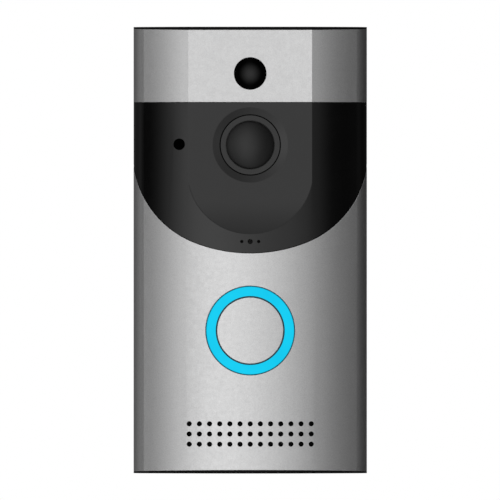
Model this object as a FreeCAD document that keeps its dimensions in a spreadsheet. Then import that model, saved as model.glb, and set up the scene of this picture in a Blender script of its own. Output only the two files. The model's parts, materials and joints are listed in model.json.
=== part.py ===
import FreeCAD, Part
import math
import operator
import os
import re
import Sketcher

# Video door phone. The wall is the plane Y = 0 and the front looks towards -Y, so a depth
# below is a distance in front of the wall. X runs to the right and Z up, from the middle
# of the front outline. All lengths are millimetres. A drop is measured down from the top
# edge, a rise up from the bottom edge, and a name that ends in behind is a distance
# behind the front of the bow.

SIZES = {
    # outer form
    "half_width": 34.0,
    "half_height": 65.0,
    "depth": 28.0,
    "front_radius": 78.0,
    "corner_radius": 5.0,
    "back_depth": 0.6,
    "back_edge": 0.6,
    "split_depth": 12.0,
    "skin": 1.5,
    "frame_wall": 1.6,
    "end_wall": 1.8,
    "end_front_slope": 1.1,
    "end_back_slope": 0.15,
    "parting": 0.15,
    # flat tongue down the front and the ramp at its end
    "facet_behind": 2.1,
    "tongue_radius": 18.3,
    "tongue_drop": 42.0,
    "ramp_length": 10.8,
    "ramp_rise": 0.9,
    # clearances
    "fit": 0.1,
    "snug": 0.05,
    "thread_fit": 0.03,
    "head_fit": 0.15,
    "service_fit": 0.3,
    "play": 0.4,
    "root": 1.0,
    # dark window across the front
    "band_drop": 21.92,
    "window_drop": 65.82,
    "window_over": 0.2,
    # lens
    "lens_drop": 34.4,
    "dish_radius": 10.95,
    "dish_depth": 0.36,
    "bezel_radius": 8.6,
    "bezel_line": 0.3,
    "bezel_bore": 6.1,
    "bezel_flange": 9.3,
    "bezel_behind": 6.6,
    "bezel_foot_height": 0.8,
    "dome_radius": 6.97,
    "dome_line": 0.2,
    "dome_seat_behind": 4.9,
    "dome_sphere": 11.4,
    "dome_top_behind": 0.7,
    "dome_wall": 1.2,
    "seal_width": 0.6,
    # camera
    "barrel_radius": 5.0,
    "barrel_behind": 5.8,
    "barrel_wall": 0.6,
    "pupil_radius": 0.9,
    "front_glass_radius": 3.4,
    "front_glass_sphere": 6.2,
    "front_glass_rise": 0.4,
    "front_glass_seat": 1.5,
    "holder_width": 14.0,
    "holder_wall": 2.0,
    "holder_behind": 10.4,
    "collar_radius": 6.4,
    "collar_behind": 8.8,
    "sensor_chip_width": 7.0,
    "sensor_chip_height": 6.0,
    "sensor_chip": 0.9,
    "chip_room": 1.8,
    "camera_board_gap": 2.2,
    "camera_board": 1.2,
    "camera_board_width": 25.6,
    "camera_board_below": 8.9,
    "camera_board_above": 13.0,
    "camera_post_x": 10.6,
    "camera_post_from_low": 2.1,
    "camera_post_from_high": 2.7,
    "post_radius": 1.8,
    "post_shoulder": 2.2,
    "small_screw": 0.8,
    "small_head": 1.5,
    "small_head_height": 0.7,
    "small_screw_grip": 4.0,
    "camera_plug_width": 10.0,
    "camera_plug_height": 3.4,
    "camera_plug_drop": 24.0,
    # infrared board
    "ir_board_behind": 8.4,
    "ir_board": 0.8,
    "ir_board_left": 24.0,
    "ir_board_right": 16.6,
    "ir_board_over": 1.0,
    "ir_led_x": 11.3,
    "ir_led_rise": 3.0,
    "ir_led_width": 2.8,
    "ir_led_foot": 0.8,
    "ir_led_dome": 1.2,
    "ir_led_height": 1.9,
    # light sensor
    "sensor_x": 20.7,
    "sensor_over_lens": 0.2,
    "sensor_radius": 1.65,
    "sensor_behind": 3.5,
    "sensor_flange": 2.25,
    "sensor_flange_height": 1.2,
    "sensor_gap": 1.0,
    "sensor_width": 2.0,
    "sensor_height": 0.9,
    # movement sensor
    "pir_drop": 13.6,
    "pir_radius": 4.68,
    "pir_flange": 5.8,
    "pir_behind": 6.1,
    "pir_sphere": 6.6,
    "pir_top_behind": 0.35,
    "pir_wall": 0.8,
    "pir_can": 4.1,
    "pir_can_rim": 0.5,
    "pir_can_behind": 7.8,
    "pir_pupil_width": 4.0,
    "pir_pupil_height": 3.0,
    "pir_board_behind": 12.8,
    "pir_board": 1.0,
    "pir_board_width": 24.0,
    "pir_board_height": 10.6,
    "pir_board_over": 0.6,
    "pir_post_x": 9.4,
    "pir_post": 1.6,
    "pir_peg": 0.8,
    # microphone and status lights
    "mic_drop": 62.5,
    "mic_hole": 0.7,
    "mic_width": 2.8,
    "mic_height": 2.4,
    "mic_case": 0.75,
    "boot_radius": 1.1,
    "boot_bore": 0.5,
    "status_x": 2.45,
    "status_hole": 0.45,
    "status_pipe": 0.7,
    "status_led_width": 0.8,
    "status_led_height": 1.2,
    "status_led": 0.5,
    "status_behind": 0.15,
    # bell button
    "ring_radius": 13.0,
    "ring_bore": 10.05,
    "ring_guide": 12.3,
    "ring_seat_behind": 2.8,
    "ring_foot_behind": 3.4,
    "ring_skirt_behind": 3.9,
    "ring_sink": 0.2,
    "cap_radius": 9.6,
    "cap_wall": 1.2,
    "cap_sink": 0.1,
    "flange_radius": 10.7,
    "flange_back_behind": 4.1,
    "flange_front_behind": 3.5,
    "cap_hollow_behind": 1.6,
    "cap_post": 1.9,
    "cap_post_behind": 3.05,
    "button_boss": 13.9,
    "button_boss_behind": 4.6,
    "button_board_behind": 5.5,
    "button_board": 0.8,
    "button_board_width": 28.0,
    "button_board_below": 15.0,
    "button_board_over_mic": 3.5,
    "board_peg_x": 12.6,
    "board_peg_from_low": 1.4,
    "board_peg_from_high": 8.6,
    "board_foot": 1.2,
    "board_foot_height": 1.1,
    "board_peg": 0.7,
    "switch_width": 5.2,
    "switch_behind": 3.7,
    "plunger_radius": 1.5,
    "plunger_behind": 3.1,
    "plunger_depth": 0.4,
    "ring_led_radius": 11.6,
    "ring_led_width": 1.3,
    "ring_led": 0.6,
    "flex_x": 8.5,
    "flex_width": 6.0,
    "flex": 0.17,
    "flex_start": 4.0,
    "flex_end": 2.0,
    "flex_plug_side": 1.0,
    "flex_plug_rise": 0.7,
    # loudspeaker
    "grille_rise": 11.5,
    "grille_pitch": 2.96,
    "grille_hole": 0.73,
    "speaker_rise": 9.4,
    "speaker_width": 29.0,
    "speaker_height": 11.6,
    "speaker_wall": 1.5,
    "speaker_back_behind": 10.4,
    "speaker_front_behind": 5.9,
    "speaker_rim_behind": 5.5,
    "speaker_rim": 1.2,
    "speaker_rim_height": 1.6,
    "speaker_land": 1.0,
    "speaker_mouth": 1.6,
    "speaker_ear_x": 17.4,
    "speaker_ear_width": 1.8,
    "speaker_ear_height": 4.0,
    "speaker_ear": 1.0,
    "speaker_ear_behind": 7.4,
    "speaker_peg": 0.75,
    "speaker_post": 1.4,
    "magnet_width": 12.0,
    "magnet_height": 8.0,
    "magnet": 1.2,
    "cone_edge": 0.4,
    "cone_side": 2.5,
    "cone_end": 1.75,
    "cone_corner": 1.75,
    "cone_rise": 0.5,
    "mesh_margin": 0.4,
    "mesh": 0.35,
    # battery bay
    "cells_behind": 7.0,
    "cell_back": 2.7,
    "cell_gap": 0.15,
    "cell_nub": 3.0,
    "cell_nub_height": 0.8,
    "cell_edge": 0.8,
    "cell_groove_depth": 0.35,
    "cell_groove_width": 1.2,
    "cell_groove_drop": 3.2,
    "bay_rise": 17.0,
    "bay_drop": 45.2,
    "bay_side_room": 0.95,
    "bay_front_room": 0.2,
    "bay_end_room": 1.4,
    "bay_wall": 1.2,
    "bay_front_wall": 1.0,
    "bay_chamfer": 4.0,
    "bay_chamfer_step": 0.6,
    "contact_width": 8.0,
    "contact_half": 5.0,
    "contact_nose": 2.0,
    "contact": 0.4,
    "spring_width": 7.0,
    "spring_half": 5.0,
    "spring": 0.3,
    "spring_fold": 1.0,
    # back of the unit
    "back_wall": 4.4,
    "rim_wall": 2.6,
    "recess_depth": 2.8,
    "recess_side": 3.5,
    "recess_rise": 1.4,
    "recess_drop": 6.4,
    "groove_side": 2.0,
    "groove_end": 1.2,
    "groove_width": 0.7,
    "groove_depth": 0.7,
    "case_screw_side": 6.5,
    "case_screw_end": 9.0,
    "case_boss": 2.7,
    "case_rib": 1.0,
    "case_screw": 1.2,
    "case_screw_grip": 5.0,
    "case_head": 2.2,
    "case_head_height": 1.4,
    "case_head_seat": 6.0,
    # bracket
    "plate": 2.5,
    "plate_side": 5.0,
    "plate_end": 6.8,
    "plate_corner": 3.0,
    "plate_edge": 0.4,
    "opening_rise": 13.0,
    "opening_drop": 15.0,
    "opening_room": 1.2,
    "opening_corner": 2.5,
    "hole_side": 9.0,
    "hole_from_end": 3.7,
    "wall_hole": 2.2,
    "countersink": 3.4,
    "hook_drop": 30.0,
    "hook_rise": 40.0,
    "hook_margin": 1.95,
    "hook_stem": 2.5,
    "hook_reach": 6.5,
    "hook_back": 4.6,
    "hook_front": 6.0,
    "hook_lead": 0.5,
    "hook_wall": 1.2,
    "lift": 5.0,
    "lift_spare": 0.5,
    "tongue_half": 6.0,
    "tongue": 2.0,
    "tongue_front": 8.0,
    "tongue_room": 0.5,
    # security screw
    "lock_depth": 5.5,
    "lock_screw": 1.45,
    "lock_bore": 1.5,
    "lock_head": 2.6,
    "lock_head_height": 1.3,
    "lock_head_edge": 0.3,
    "lock_seat_rise": 1.6,
    "lock_tip": 0.4,
    "lock_socket": 1.0,
    "lock_socket_depth": 0.7,
    "lock_room": 0.2,
    "lock_block_half": 4.0,
    "lock_block_wall": 3.5,
    # battery cover
    "cover_back": 0.9,
    "cover": 1.5,
    "cover_side": 1.4,
    "cover_below": 1.6,
    "cover_above": 7.6,
    "cover_corner": 1.5,
    "cover_edge": 0.3,
    "cover_screw_x": 14.0,
    "cover_screw_drop": 2.8,
    "cover_boss": 2.2,
    "cover_boss_height": 3.2,
    "cover_foot": 2.3,
    "cover_head": 2.0,
    "cover_head_height": 0.8,
    "cover_screw": 0.84,
    "cover_screw_tip": 6.4,
    "grip_width": 16.0,
    "grip_groove": 0.8,
    "grip_pitch": 1.6,
    "grip_rise": 3.0,
    "grip_depth": 0.4,
    "seal_outside": 1.1,
    "seal_inside": 0.2,
    # main board
    "board_back": 8.0,
    "board": 1.2,
    "board_side": 9.6,
    "board_drop": 4.0,
    "board_over_bay": 2.6,
    "board_corner": 1.5,
    "board_screw_from_side": 2.9,
    "board_screw_from_low": 3.0,
    "board_screw_from_high": 3.5,
    "board_boss": 2.0,
    "board_head": 1.6,
    "board_head_height": 1.0,
    "board_screw_grip": 3.0,
    "chip": 1.0,
    "processor_width": 11.0,
    "processor_from_screw": 10.7,
    "processor_rise": 11.2,
    "memory_width": 7.0,
    "memory_from_screw": 9.5,
    "memory_rise": 10.6,
    "power_chip_from_screw": 6.5,
    "power_chip_rise": 24.6,
    "power_chip_width": 8.0,
    "power_chip_height": 6.0,
    "power_chip": 1.3,
    "regulator_from_screw": 4.1,
    "regulator_rise": 3.4,
    "regulator_width": 4.0,
    "wifi_from_screw": 8.5,
    "wifi_drop": 14.0,
    "wifi_width": 12.0,
    "wifi_height": 14.0,
    "wifi_board": 0.8,
    "wifi_shield_width": 11.0,
    "wifi_shield_over": 1.0,
    "wifi_shield": 2.2,
    "antenna_width": 26.0,
    "antenna_height": 0.5,
    "antenna_behind": 9.0,
    "antenna_depth": 5.0,
    # connectors at the back
    "service_over_board": 13.6,
    "terminal_x": 9.0,
    "terminal_width": 12.0,
    "terminal_height": 8.0,
    "terminal_back": 3.2,
    "terminal_pitch": 5.6,
    "terminal_head": 1.6,
    "terminal_head_height": 1.7,
    "terminal_head_sink": 0.7,
    "terminal_well_up": 1.4,
    "wire_mouth_down": 2.4,
    "wire_mouth_width": 2.6,
    "wire_mouth_height": 1.8,
    "wire_mouth_depth": 3.2,
    "usb_x": 6.8,
    "usb_width": 9.0,
    "usb_height": 3.3,
    "usb_back": 3.7,
    "usb_wall": 0.35,
    "usb_mouth_depth": 3.6,
    "usb_tongue": 0.7,
    "usb_tongue_side": 0.8,
    "flap_below": 2.6,
    "flap_above": 2.9,
    "flap_width": 11.0,
    "flap_back": 1.5,
    "flap_axle_above": 3.7,
    "flap_axle_depth": 1.95,
    "flap_axle": 0.5,
    "flap_barrel": 0.75,
    "flap_plug_side": 0.2,
    "axle_fit": 0.08,
    "lug_width": 1.3,
    "lug_half_height": 1.1,
    "lug_back": 0.95,
    "reset_from_bay": 3.4,
    "reset_radius": 1.7,
    "reset_collar": 0.6,
    "reset_stem": 0.65,
    "reset_sink": 0.2,
    "reset_travel": 0.6,
    "reset_well": 0.15,
    "reset_switch_width": 3.6,
    "reset_switch": 1.7,
    "slot_width": 0.5,
    "slot_depth": 0.4,
}

# Numbers that are not lengths.
COUNTS = {
    "grille_columns": 13,
    "grille_rows": 3,
    "ring_led_count": 8,
    "grip_count": 4,
}
SHARES = {
    "window_round": 1.312,
    "window_side_round": 0.8294,
    "button_share": 0.42863,
}
OPERATIONS = {
    "+": operator.add,
    "-": operator.sub,
    "*": operator.mul,
    "/": operator.truediv,
}


class Size:
    """A length of the sheet, or a sum or product of such lengths, with its value."""

    def __init__(self, text, value):
        self.text = text
        self.value = value

    def __add__(self, other):
        return combined(self, "+", other)

    def __radd__(self, other):
        return combined(other, "+", self)

    def __sub__(self, other):
        return combined(self, "-", other)

    def __rsub__(self, other):
        return combined(other, "-", self)

    def __mul__(self, other):
        return combined(self, "*", other)

    def __rmul__(self, other):
        return combined(other, "*", self)

    def __truediv__(self, other):
        return combined(self, "/", other)

    def __neg__(self):
        return combined(0, "-", self)


def size(thing):
    """A number as a Size, and a Size as it is."""
    return thing if isinstance(thing, Size) else Size(f"({thing})", float(thing))


def combined(first, sign, second):
    first, second = size(first), size(second)
    value = OPERATIONS[sign](first.value, second.value)
    return Size(f"({first.text} {sign} {second.text})", value)


def worth(length):
    return size(length).value


def bound(length):
    """The expression that reads this length from the sheet."""
    return re.sub(r"[a-z]\w*", r"Sizes.\g<0>", size(length).text)


doc = FreeCAD.newDocument("video_door_phone")
sheet = doc.addObject("Spreadsheet::Sheet", "Sizes")


class Rows:
    """The lengths of the sheet by name. Setting a name writes a row."""

    def __setattr__(self, name, value):
        row = len(vars(self)) + 1
        sheet.set(f"A{row}", name)
        sheet.set(f"B{row}", f"={size(value).text}")
        sheet.setAlias(f"B{row}", name)
        vars(self)[name] = Size(name, worth(value))


s = Rows()
for table in (SIZES, COUNTS, SHARES):
    for name, value in table.items():
        setattr(s, name, value)

# Heights that follow the top edge.
s.band_z = s.half_height - s.band_drop
s.lens_z = s.half_height - s.lens_drop
s.sensor_z = s.lens_z + s.sensor_over_lens
s.pir_z = s.half_height - s.pir_drop
s.tongue_z = s.half_height - s.tongue_drop
s.tongue_low = s.tongue_z - s.tongue_radius
s.ramp_z = s.tongue_low + s.ramp_length
s.window_low = s.half_height - s.window_drop
s.mic_z = s.half_height - s.mic_drop
s.bay_high = s.half_height - s.bay_drop
s.board_high = s.half_height - s.board_drop
s.board_low = s.bay_high + s.board_over_bay
s.service_z = s.board_low + s.service_over_board
s.camera_board_low = s.lens_z - s.camera_board_below
s.camera_board_high = s.lens_z + s.camera_board_above
s.camera_post_low = s.camera_board_low + s.camera_post_from_low
s.camera_post_high = s.camera_board_high - s.camera_post_from_high
s.cover_high = s.bay_high + s.cover_above
s.cover_screw_z = s.cover_high - s.cover_screw_drop
s.opening_high = s.half_height - s.opening_drop
s.hook_upper = s.half_height - s.hook_drop
s.recess_high = s.half_height - s.recess_drop
s.end_front_z = s.half_height - s.end_front_slope
s.end_back_z = s.half_height - s.end_back_slope
s.case_screw_z = s.half_height - s.case_screw_end
s.plate_half_height = s.half_height - s.plate_end
s.hole_z = s.plate_half_height - s.hole_from_end
s.flap_axle_z = s.service_z + s.flap_axle_above

# Heights that follow the bottom edge, and the button between window and grille.
s.grille_z = s.grille_rise - s.half_height
s.speaker_z = s.speaker_rise - s.half_height
s.bay_low = s.bay_rise - s.half_height
s.cover_low = s.bay_low - s.cover_below
s.recess_low = s.recess_rise - s.half_height
s.opening_low = s.opening_rise - s.half_height
s.hook_lower = s.hook_rise - s.half_height
s.stop_low = s.opening_low - s.tongue
s.stop_room_low = s.stop_low - s.lift - s.play
s.lock_seat = s.lock_seat_rise - s.half_height
s.button_z = s.window_low - s.button_share * (s.window_low - s.grille_z)
s.button_board_low = s.button_z - s.button_board_below
s.button_board_high = s.mic_z + s.button_board_over_mic

# Depths that follow the front. The cells take what the front leaves them.
s.facet_depth = s.depth - s.facet_behind
s.ramp_radius = (s.ramp_length * s.ramp_length / s.ramp_rise + s.ramp_rise) / 2
s.frame_inset = s.skin + s.fit
s.inside_inset = s.frame_inset + s.frame_wall
s.facet_inside = s.facet_depth - s.inside_inset
s.dish_floor = s.facet_depth - s.dish_depth
s.bezel_foot = s.depth - s.bezel_behind
s.bezel_step = s.bezel_foot + s.bezel_foot_height
s.lens_hole = s.bezel_radius + s.bezel_line
s.dome_seat = s.depth - s.dome_seat_behind
s.dome_centre = s.depth - s.dome_top_behind - s.dome_sphere
s.barrel_front = s.depth - s.barrel_behind
s.holder_front = s.depth - s.holder_behind
s.collar_front = s.depth - s.collar_behind
s.ir_board_back = s.depth - s.ir_board_behind
s.ir_board_front = s.ir_board_back + s.ir_board
s.ir_led_front = s.ir_board_front + s.ir_led_height
s.sensor_front = s.depth - s.sensor_behind
s.sensor_foot = s.ir_board_front + s.sensor_gap
s.pir_foot = s.depth - s.pir_behind
s.pir_centre = s.depth - s.pir_top_behind - s.pir_sphere
s.pir_can_front = s.depth - s.pir_can_behind
s.pir_board_back = s.depth - s.pir_board_behind
s.pir_board_front = s.pir_board_back + s.pir_board
s.ring_seat = s.depth - s.ring_seat_behind
s.ring_foot = s.depth - s.ring_foot_behind
s.ring_skirt = s.depth - s.ring_skirt_behind
s.flange_back = s.depth - s.flange_back_behind
s.flange_front = s.depth - s.flange_front_behind
s.cap_hollow = s.depth - s.cap_hollow_behind
s.cap_post_back = s.depth - s.cap_post_behind
s.button_boss_back = s.depth - s.button_boss_behind
s.button_board_back = s.depth - s.button_board_behind
s.button_board_front = s.button_board_back + s.button_board
s.switch_front = s.depth - s.switch_behind
s.plunger_front = s.depth - s.plunger_behind
s.speaker_back = s.depth - s.speaker_back_behind
s.speaker_front = s.depth - s.speaker_front_behind
s.speaker_rim_back = s.depth - s.speaker_rim_behind
s.speaker_ear_front = s.depth - s.speaker_ear_behind
s.cell_radius = (s.depth - s.cells_behind - s.cell_back) / 2
s.cell_depth = s.cell_back + s.cell_radius
s.cell_x = s.cell_radius + s.cell_gap
s.cell_low = s.bay_low + s.bay_end_room
s.cell_high = s.bay_high - s.bay_end_room
s.bay_front = s.cell_depth + s.cell_radius + s.bay_front_room
s.bay_outside = s.bay_front + s.bay_front_wall

# Depths that follow the wall.
s.board_front = s.board_back + s.board
s.camera_board_back = s.board_front + s.camera_board_gap
s.camera_board_front = s.camera_board_back + s.camera_board
s.cover_front = s.cover_back + s.cover

# Widths.
s.bay_half_width = s.cell_x + s.cell_radius + s.bay_side_room
s.bay_side = s.bay_half_width + s.bay_wall
s.rim_inside = s.half_width - s.rim_wall
s.reset_x = s.bay_side - s.reset_from_bay
s.recess_half_width = s.half_width - s.recess_side
s.groove_x = s.half_width - s.groove_side
s.groove_z = s.half_height - s.groove_end
s.case_screw_x = s.half_width - s.case_screw_side
s.inside_radius = s.front_radius - s.inside_inset
s.case_screw_bow = s.case_screw_x * s.case_screw_x / (2 * s.inside_radius)
s.case_boss_front = s.depth - s.inside_inset - s.case_screw_bow + s.snug
s.plate_half_width = s.half_width - s.plate_side
s.cover_half_width = s.bay_half_width + s.cover_side
s.opening_half_width = s.cover_half_width + s.opening_room
s.hole_x = s.half_width - s.hole_side
s.hook_x = (s.bay_side + s.recess_half_width) / 2
s.hook_width = s.recess_half_width - s.bay_side - 2 * s.hook_margin
s.hook_half_slot = s.hook_width / 2 + s.play
s.board_half_width = s.half_width - s.board_side
s.board_screw_x = s.board_half_width - s.board_screw_from_side
s.mesh_half_width = s.grille_columns * s.grille_pitch / 2 + s.mesh_margin
s.mesh_half_height = s.grille_rows * s.grille_pitch / 2 + s.mesh_margin
s.window_radius = s.half_width * s.window_round
s.window_side_radius = s.half_width * s.window_side_round
doc.recompute()

LENS = (0, s.lens_z)
LIGHT_SENSOR = (-s.sensor_x, s.sensor_z)
MOVEMENT = (0, s.pir_z)
MICROPHONE = (0, s.mic_z)
BUTTON = (0, s.button_z)
SPEAKER = (0, s.speaker_z)
GRILLE = (0, s.grille_z)
STATUS = [(s.status_x, s.mic_z), (-s.status_x, s.mic_z)]
TERMINAL = (-s.terminal_x, s.service_z)
SOCKET = (s.usb_x, s.service_z)
RESET = (s.reset_x, s.service_z)


def pairs(x, *heights):
    """Places at plus and minus x on each height."""
    return [(side, z) for side in (x, -x) for z in heights]


LEDS = pairs(s.ir_led_x, s.lens_z + s.ir_led_rise, s.lens_z - s.ir_led_rise)
CAMERA_POSTS = pairs(s.camera_post_x, s.camera_post_low, s.camera_post_high)
PIR_POSTS = pairs(s.pir_post_x, s.pir_z)
EARS = pairs(s.speaker_ear_x, s.speaker_z)
CASE_SCREWS = pairs(s.case_screw_x, s.case_screw_z, size(0), -s.case_screw_z)
BOARD_PEGS = pairs(
    s.board_peg_x,
    s.button_board_low + s.board_peg_from_low,
    s.button_board_high - s.board_peg_from_high,
)
HOOKS = pairs(s.hook_x, s.hook_upper, s.hook_lower)
BOARD_SCREWS = pairs(
    s.board_screw_x, s.board_low + s.board_screw_from_low, s.board_high - s.board_screw_from_high
)
COVER_SCREWS = pairs(s.cover_screw_x, s.cover_screw_z)
WALL_HOLES = pairs(s.hole_x, s.hole_z, -s.hole_z)
POLES = [-s.terminal_x + s.terminal_pitch / 2, -s.terminal_x - s.terminal_pitch / 2]

# Ways a sketch can face: front has x and z with its normal towards the viewer, side has
# depth and z, top has x and depth.
FACING = {
    "front": ("XZ_Plane", FreeCAD.Rotation()),
    "side": ("YZ_Plane", FreeCAD.Rotation(FreeCAD.Vector(0, 1, 0), 180)),
    "top": ("XY_Plane", FreeCAD.Rotation(FreeCAD.Vector(1, 0, 0), 180)),
}
UP = FreeCAD.Vector(0, 0, 1)
NODES = {}


def body(label, base=None):
    part = doc.addObject("PartDesign::Body", label)
    part.Label = label
    part.AllowCompound = True
    if base is not None:
        part.BaseFeature = base
    return part


def node(label, base=None):
    """A body that is written out as a part of its own."""
    NODES[label] = body(label, base)
    return NODES[label]


def sketch(part, name, facing, x=0, y=0, lift=0):
    role, turn = FACING[facing]
    plane = next(f for f in part.Origin.OriginFeatures if f.Role == role)
    drawn = part.newObject("Sketcher::SketchObject", name)
    drawn.AttachmentSupport = [(plane, "")]
    drawn.MapMode = "FlatFace"
    place = FreeCAD.Vector(worth(x), worth(y), worth(lift))
    drawn.AttachmentOffset = FreeCAD.Placement(place, turn)
    for axis, length in zip("xyz", (x, y, lift)):
        drawn.setExpression(f"AttachmentOffset.Base.{axis}", bound(length))
    return drawn


def fix(drawn, kind, places, length):
    """Adds a dimension and binds it to the sheet."""
    index = drawn.addConstraint(Sketcher.Constraint(kind, *places, worth(length)))
    drawn.setExpression(f"Constraints[{index}]", bound(length))


def pin(drawn, piece, point, x, y):
    """Holds a point of the sketch at x, y from the origin."""
    fix(drawn, "DistanceX", (-1, 1, piece, point), x)
    fix(drawn, "DistanceY", (-1, 1, piece, point), y)


def outline(*corners):
    """A closed outline. A corner may name the radius of the arc that leaves it, which
    bends to the left of the way it runs."""

    def draw(drawn):
        first = drawn.GeometryCount
        count = len(corners)
        spots = [FreeCAD.Vector(worth(c[0]), worth(c[1]), 0) for c in corners]
        for k, corner in enumerate(corners):
            here, there = spots[k], spots[(k + 1) % count]
            if len(corner) == 2:
                drawn.addGeometry(Part.LineSegment(here, there), False)
                continue
            radius = worth(corner[2])
            half = (there - here) / 2
            reach = math.sqrt(radius**2 - half.Length**2) / half.Length
            centre = here + half + FreeCAD.Vector(-half.y, half.x, 0) * reach
            turn = [math.atan2(p.y - centre.y, p.x - centre.x) for p in (here, there)]
            ring = Part.Circle(centre, UP, radius)
            drawn.addGeometry(Part.ArcOfCircle(ring, *turn), False)
            fix(drawn, "Radius", (first + k,), corner[2])
        for k in range(count):
            meet = (first + k, 2, first + (k + 1) % count, 1)
            drawn.addConstraint(Sketcher.Constraint("Coincident", *meet))
        for k, corner in enumerate(corners):
            pin(drawn, first + k, 1, corner[0], corner[1])

    return draw


def between(left, right, low, high):
    """A rectangle given by its four sides."""
    return outline((left, low), (right, low), (right, high), (left, high))


def rectangle(x, y, width, height):
    """A rectangle about x, y."""
    return between(x - width / 2, x + width / 2, y - height / 2, y + height / 2)


def square(place, width):
    return rectangle(*place, width, width)


def rounded(left, right, low, high, radius):
    """A rectangle given by its sides, with round corners."""
    return outline(
        (left + radius, low),
        (right - radius, low, radius),
        (right, low + radius),
        (right, high - radius, radius),
        (right - radius, high),
        (left + radius, high, radius),
        (left, high - radius),
        (left, low + radius, radius),
    )


def disc(x, y, radius):
    def draw(drawn):
        centre = FreeCAD.Vector(worth(x), worth(y), 0)
        ring = drawn.addGeometry(Part.Circle(centre, UP, worth(radius)), False)
        fix(drawn, "Radius", (ring,), radius)
        pin(drawn, ring, 3, x, y)

    return draw


def discs(places, radius):
    return [disc(x, y, radius) for x, y in places]


def extrude(part, name, kind, facing, shapes, start, length, both=False, offset=(0, 0)):
    drawn = sketch(part, f"{name}_sketch", facing, *offset, lift=start)
    for draw in shapes:
        draw(drawn)
    made = part.newObject(f"PartDesign::{kind}", name)
    made.Profile = drawn
    made.Midplane = both
    made.setExpression("Length", bound(length))
    return made


def add(part, name, shapes, near, far):
    """Material between two depths, drawn as seen from the front."""
    return extrude(part, name, "Pad", "front", shapes, near, far - near)


def cut(part, name, shapes, near, far):
    """A pocket between two depths, drawn as seen from the front."""
    return extrude(part, name, "Pocket", "front", shapes, far, far - near)


def bored_up(part, name, shapes, low, high):
    """A pocket between two heights, drawn as seen from above."""
    return extrude(part, name, "Pocket", "top", shapes, low, high - low)


def turned(part, name, place, corners, kind="Revolution"):
    """A section of depth and radius turned about the line through a place of the front."""
    drawn = sketch(part, f"{name}_sketch", "side", 0, place[1], place[0])
    outline(*corners)(drawn)
    made = part.newObject(f"PartDesign::{kind}", name)
    made.Profile = drawn
    made.ReferenceAxis = (drawn, ["H_Axis"])
    made.Angle = 360
    return made


def upright(part, name, x, depth, corners):
    """A section of radius and height turned about an upright axis."""
    drawn = sketch(part, f"{name}_sketch", "side", -depth, 0, x)
    outline(*corners)(drawn)
    made = part.newObject("PartDesign::Revolution", name)
    made.Profile = drawn
    made.ReferenceAxis = (drawn, ["V_Axis"])
    made.Angle = 360
    return made


def array(part, name, feature, *runs):
    """Repeats a feature along x, and along z where a second run is given. A run has the
    distance from first to last and the count."""
    rows = part.newObject("PartDesign::LinearPattern", name)
    rows.Originals = [feature]
    for suffix, axis, run in zip(("", "2"), ("H_Axis", "V_Axis"), runs):
        setattr(rows, f"Direction{suffix}", (feature.Profile[0], [axis]))
        rows.setExpression(f"Length{suffix}", bound(run[0]))
        rows.setExpression(f"Occurrences{suffix}", bound(run[1]))
    part.Tip = rows


def bevelled(part, name, width, chosen):
    """Breaks the edges of the part so far whose boxes are chosen."""
    doc.recompute()
    base = part.Tip
    edges = base.Shape.Edges
    names = [f"Edge{k}" for k, edge in enumerate(edges, start=1) if chosen(edge.BoundBox)]
    made = part.newObject("PartDesign::Chamfer", name)
    made.Base = (base, names)
    made.setExpression("Size", bound(width))
    return made


def flat_at(depth):
    """Chooses the edges that lie at one depth."""
    level = -worth(depth)
    near = 1e-4
    return lambda box: abs(box.YMin - level) < near and abs(box.YMax - level) < near


def minus(name, whole, tool):
    made = doc.addObject("Part::Cut", name)
    made.Base, made.Tool = whole, tool
    return made


def overlap(name, first, second):
    made = doc.addObject("Part::Common", name)
    made.Base, made.Tool = first, second
    return made


def union(name, *shapes):
    made = doc.addObject("Part::MultiFuse", name)
    made.Shapes = list(shapes)
    return made


def plate(label, shapes, near, far):
    """A part that starts as one thickness all over."""
    part = node(label)
    add(part, f"{label}_pad", shapes, near, far)
    return part


def domed(name, place, radius, seat, centre, sphere):
    """A rod with a spherical front."""
    rod = body(f"{name}_rod")
    add(rod, f"{name}_pad", [disc(*place, radius)], seat, centre + sphere)
    ball = doc.addObject("Part::Sphere", f"{name}_ball")
    ball.setExpression("Radius", bound(sphere))
    for axis, length in zip("xyz", (place[0], -centre, place[1])):
        ball.setExpression(f"Placement.Base.{axis}", bound(length))
    return overlap(name, rod, ball)


def screws(label, places, head, shank, back, seat, tip):
    """Pan head screws driven from the back, all alike, with a cross in their heads."""
    part = node(label)
    add(part, f"{label}_heads", discs(places, head), back, seat)
    add(part, f"{label}_shanks", discs(places, shank), seat, tip)
    floor = back + s.slot_depth
    across = head * 1.1
    bars = [rectangle(*p, across, s.slot_width) for p in places]
    cut(part, f"{label}_slots", bars, back, floor)
    uprights = [rectangle(*p, s.slot_width, across) for p in places]
    cut(part, f"{label}_cross_slots", uprights, back, floor)
    return part


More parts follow.
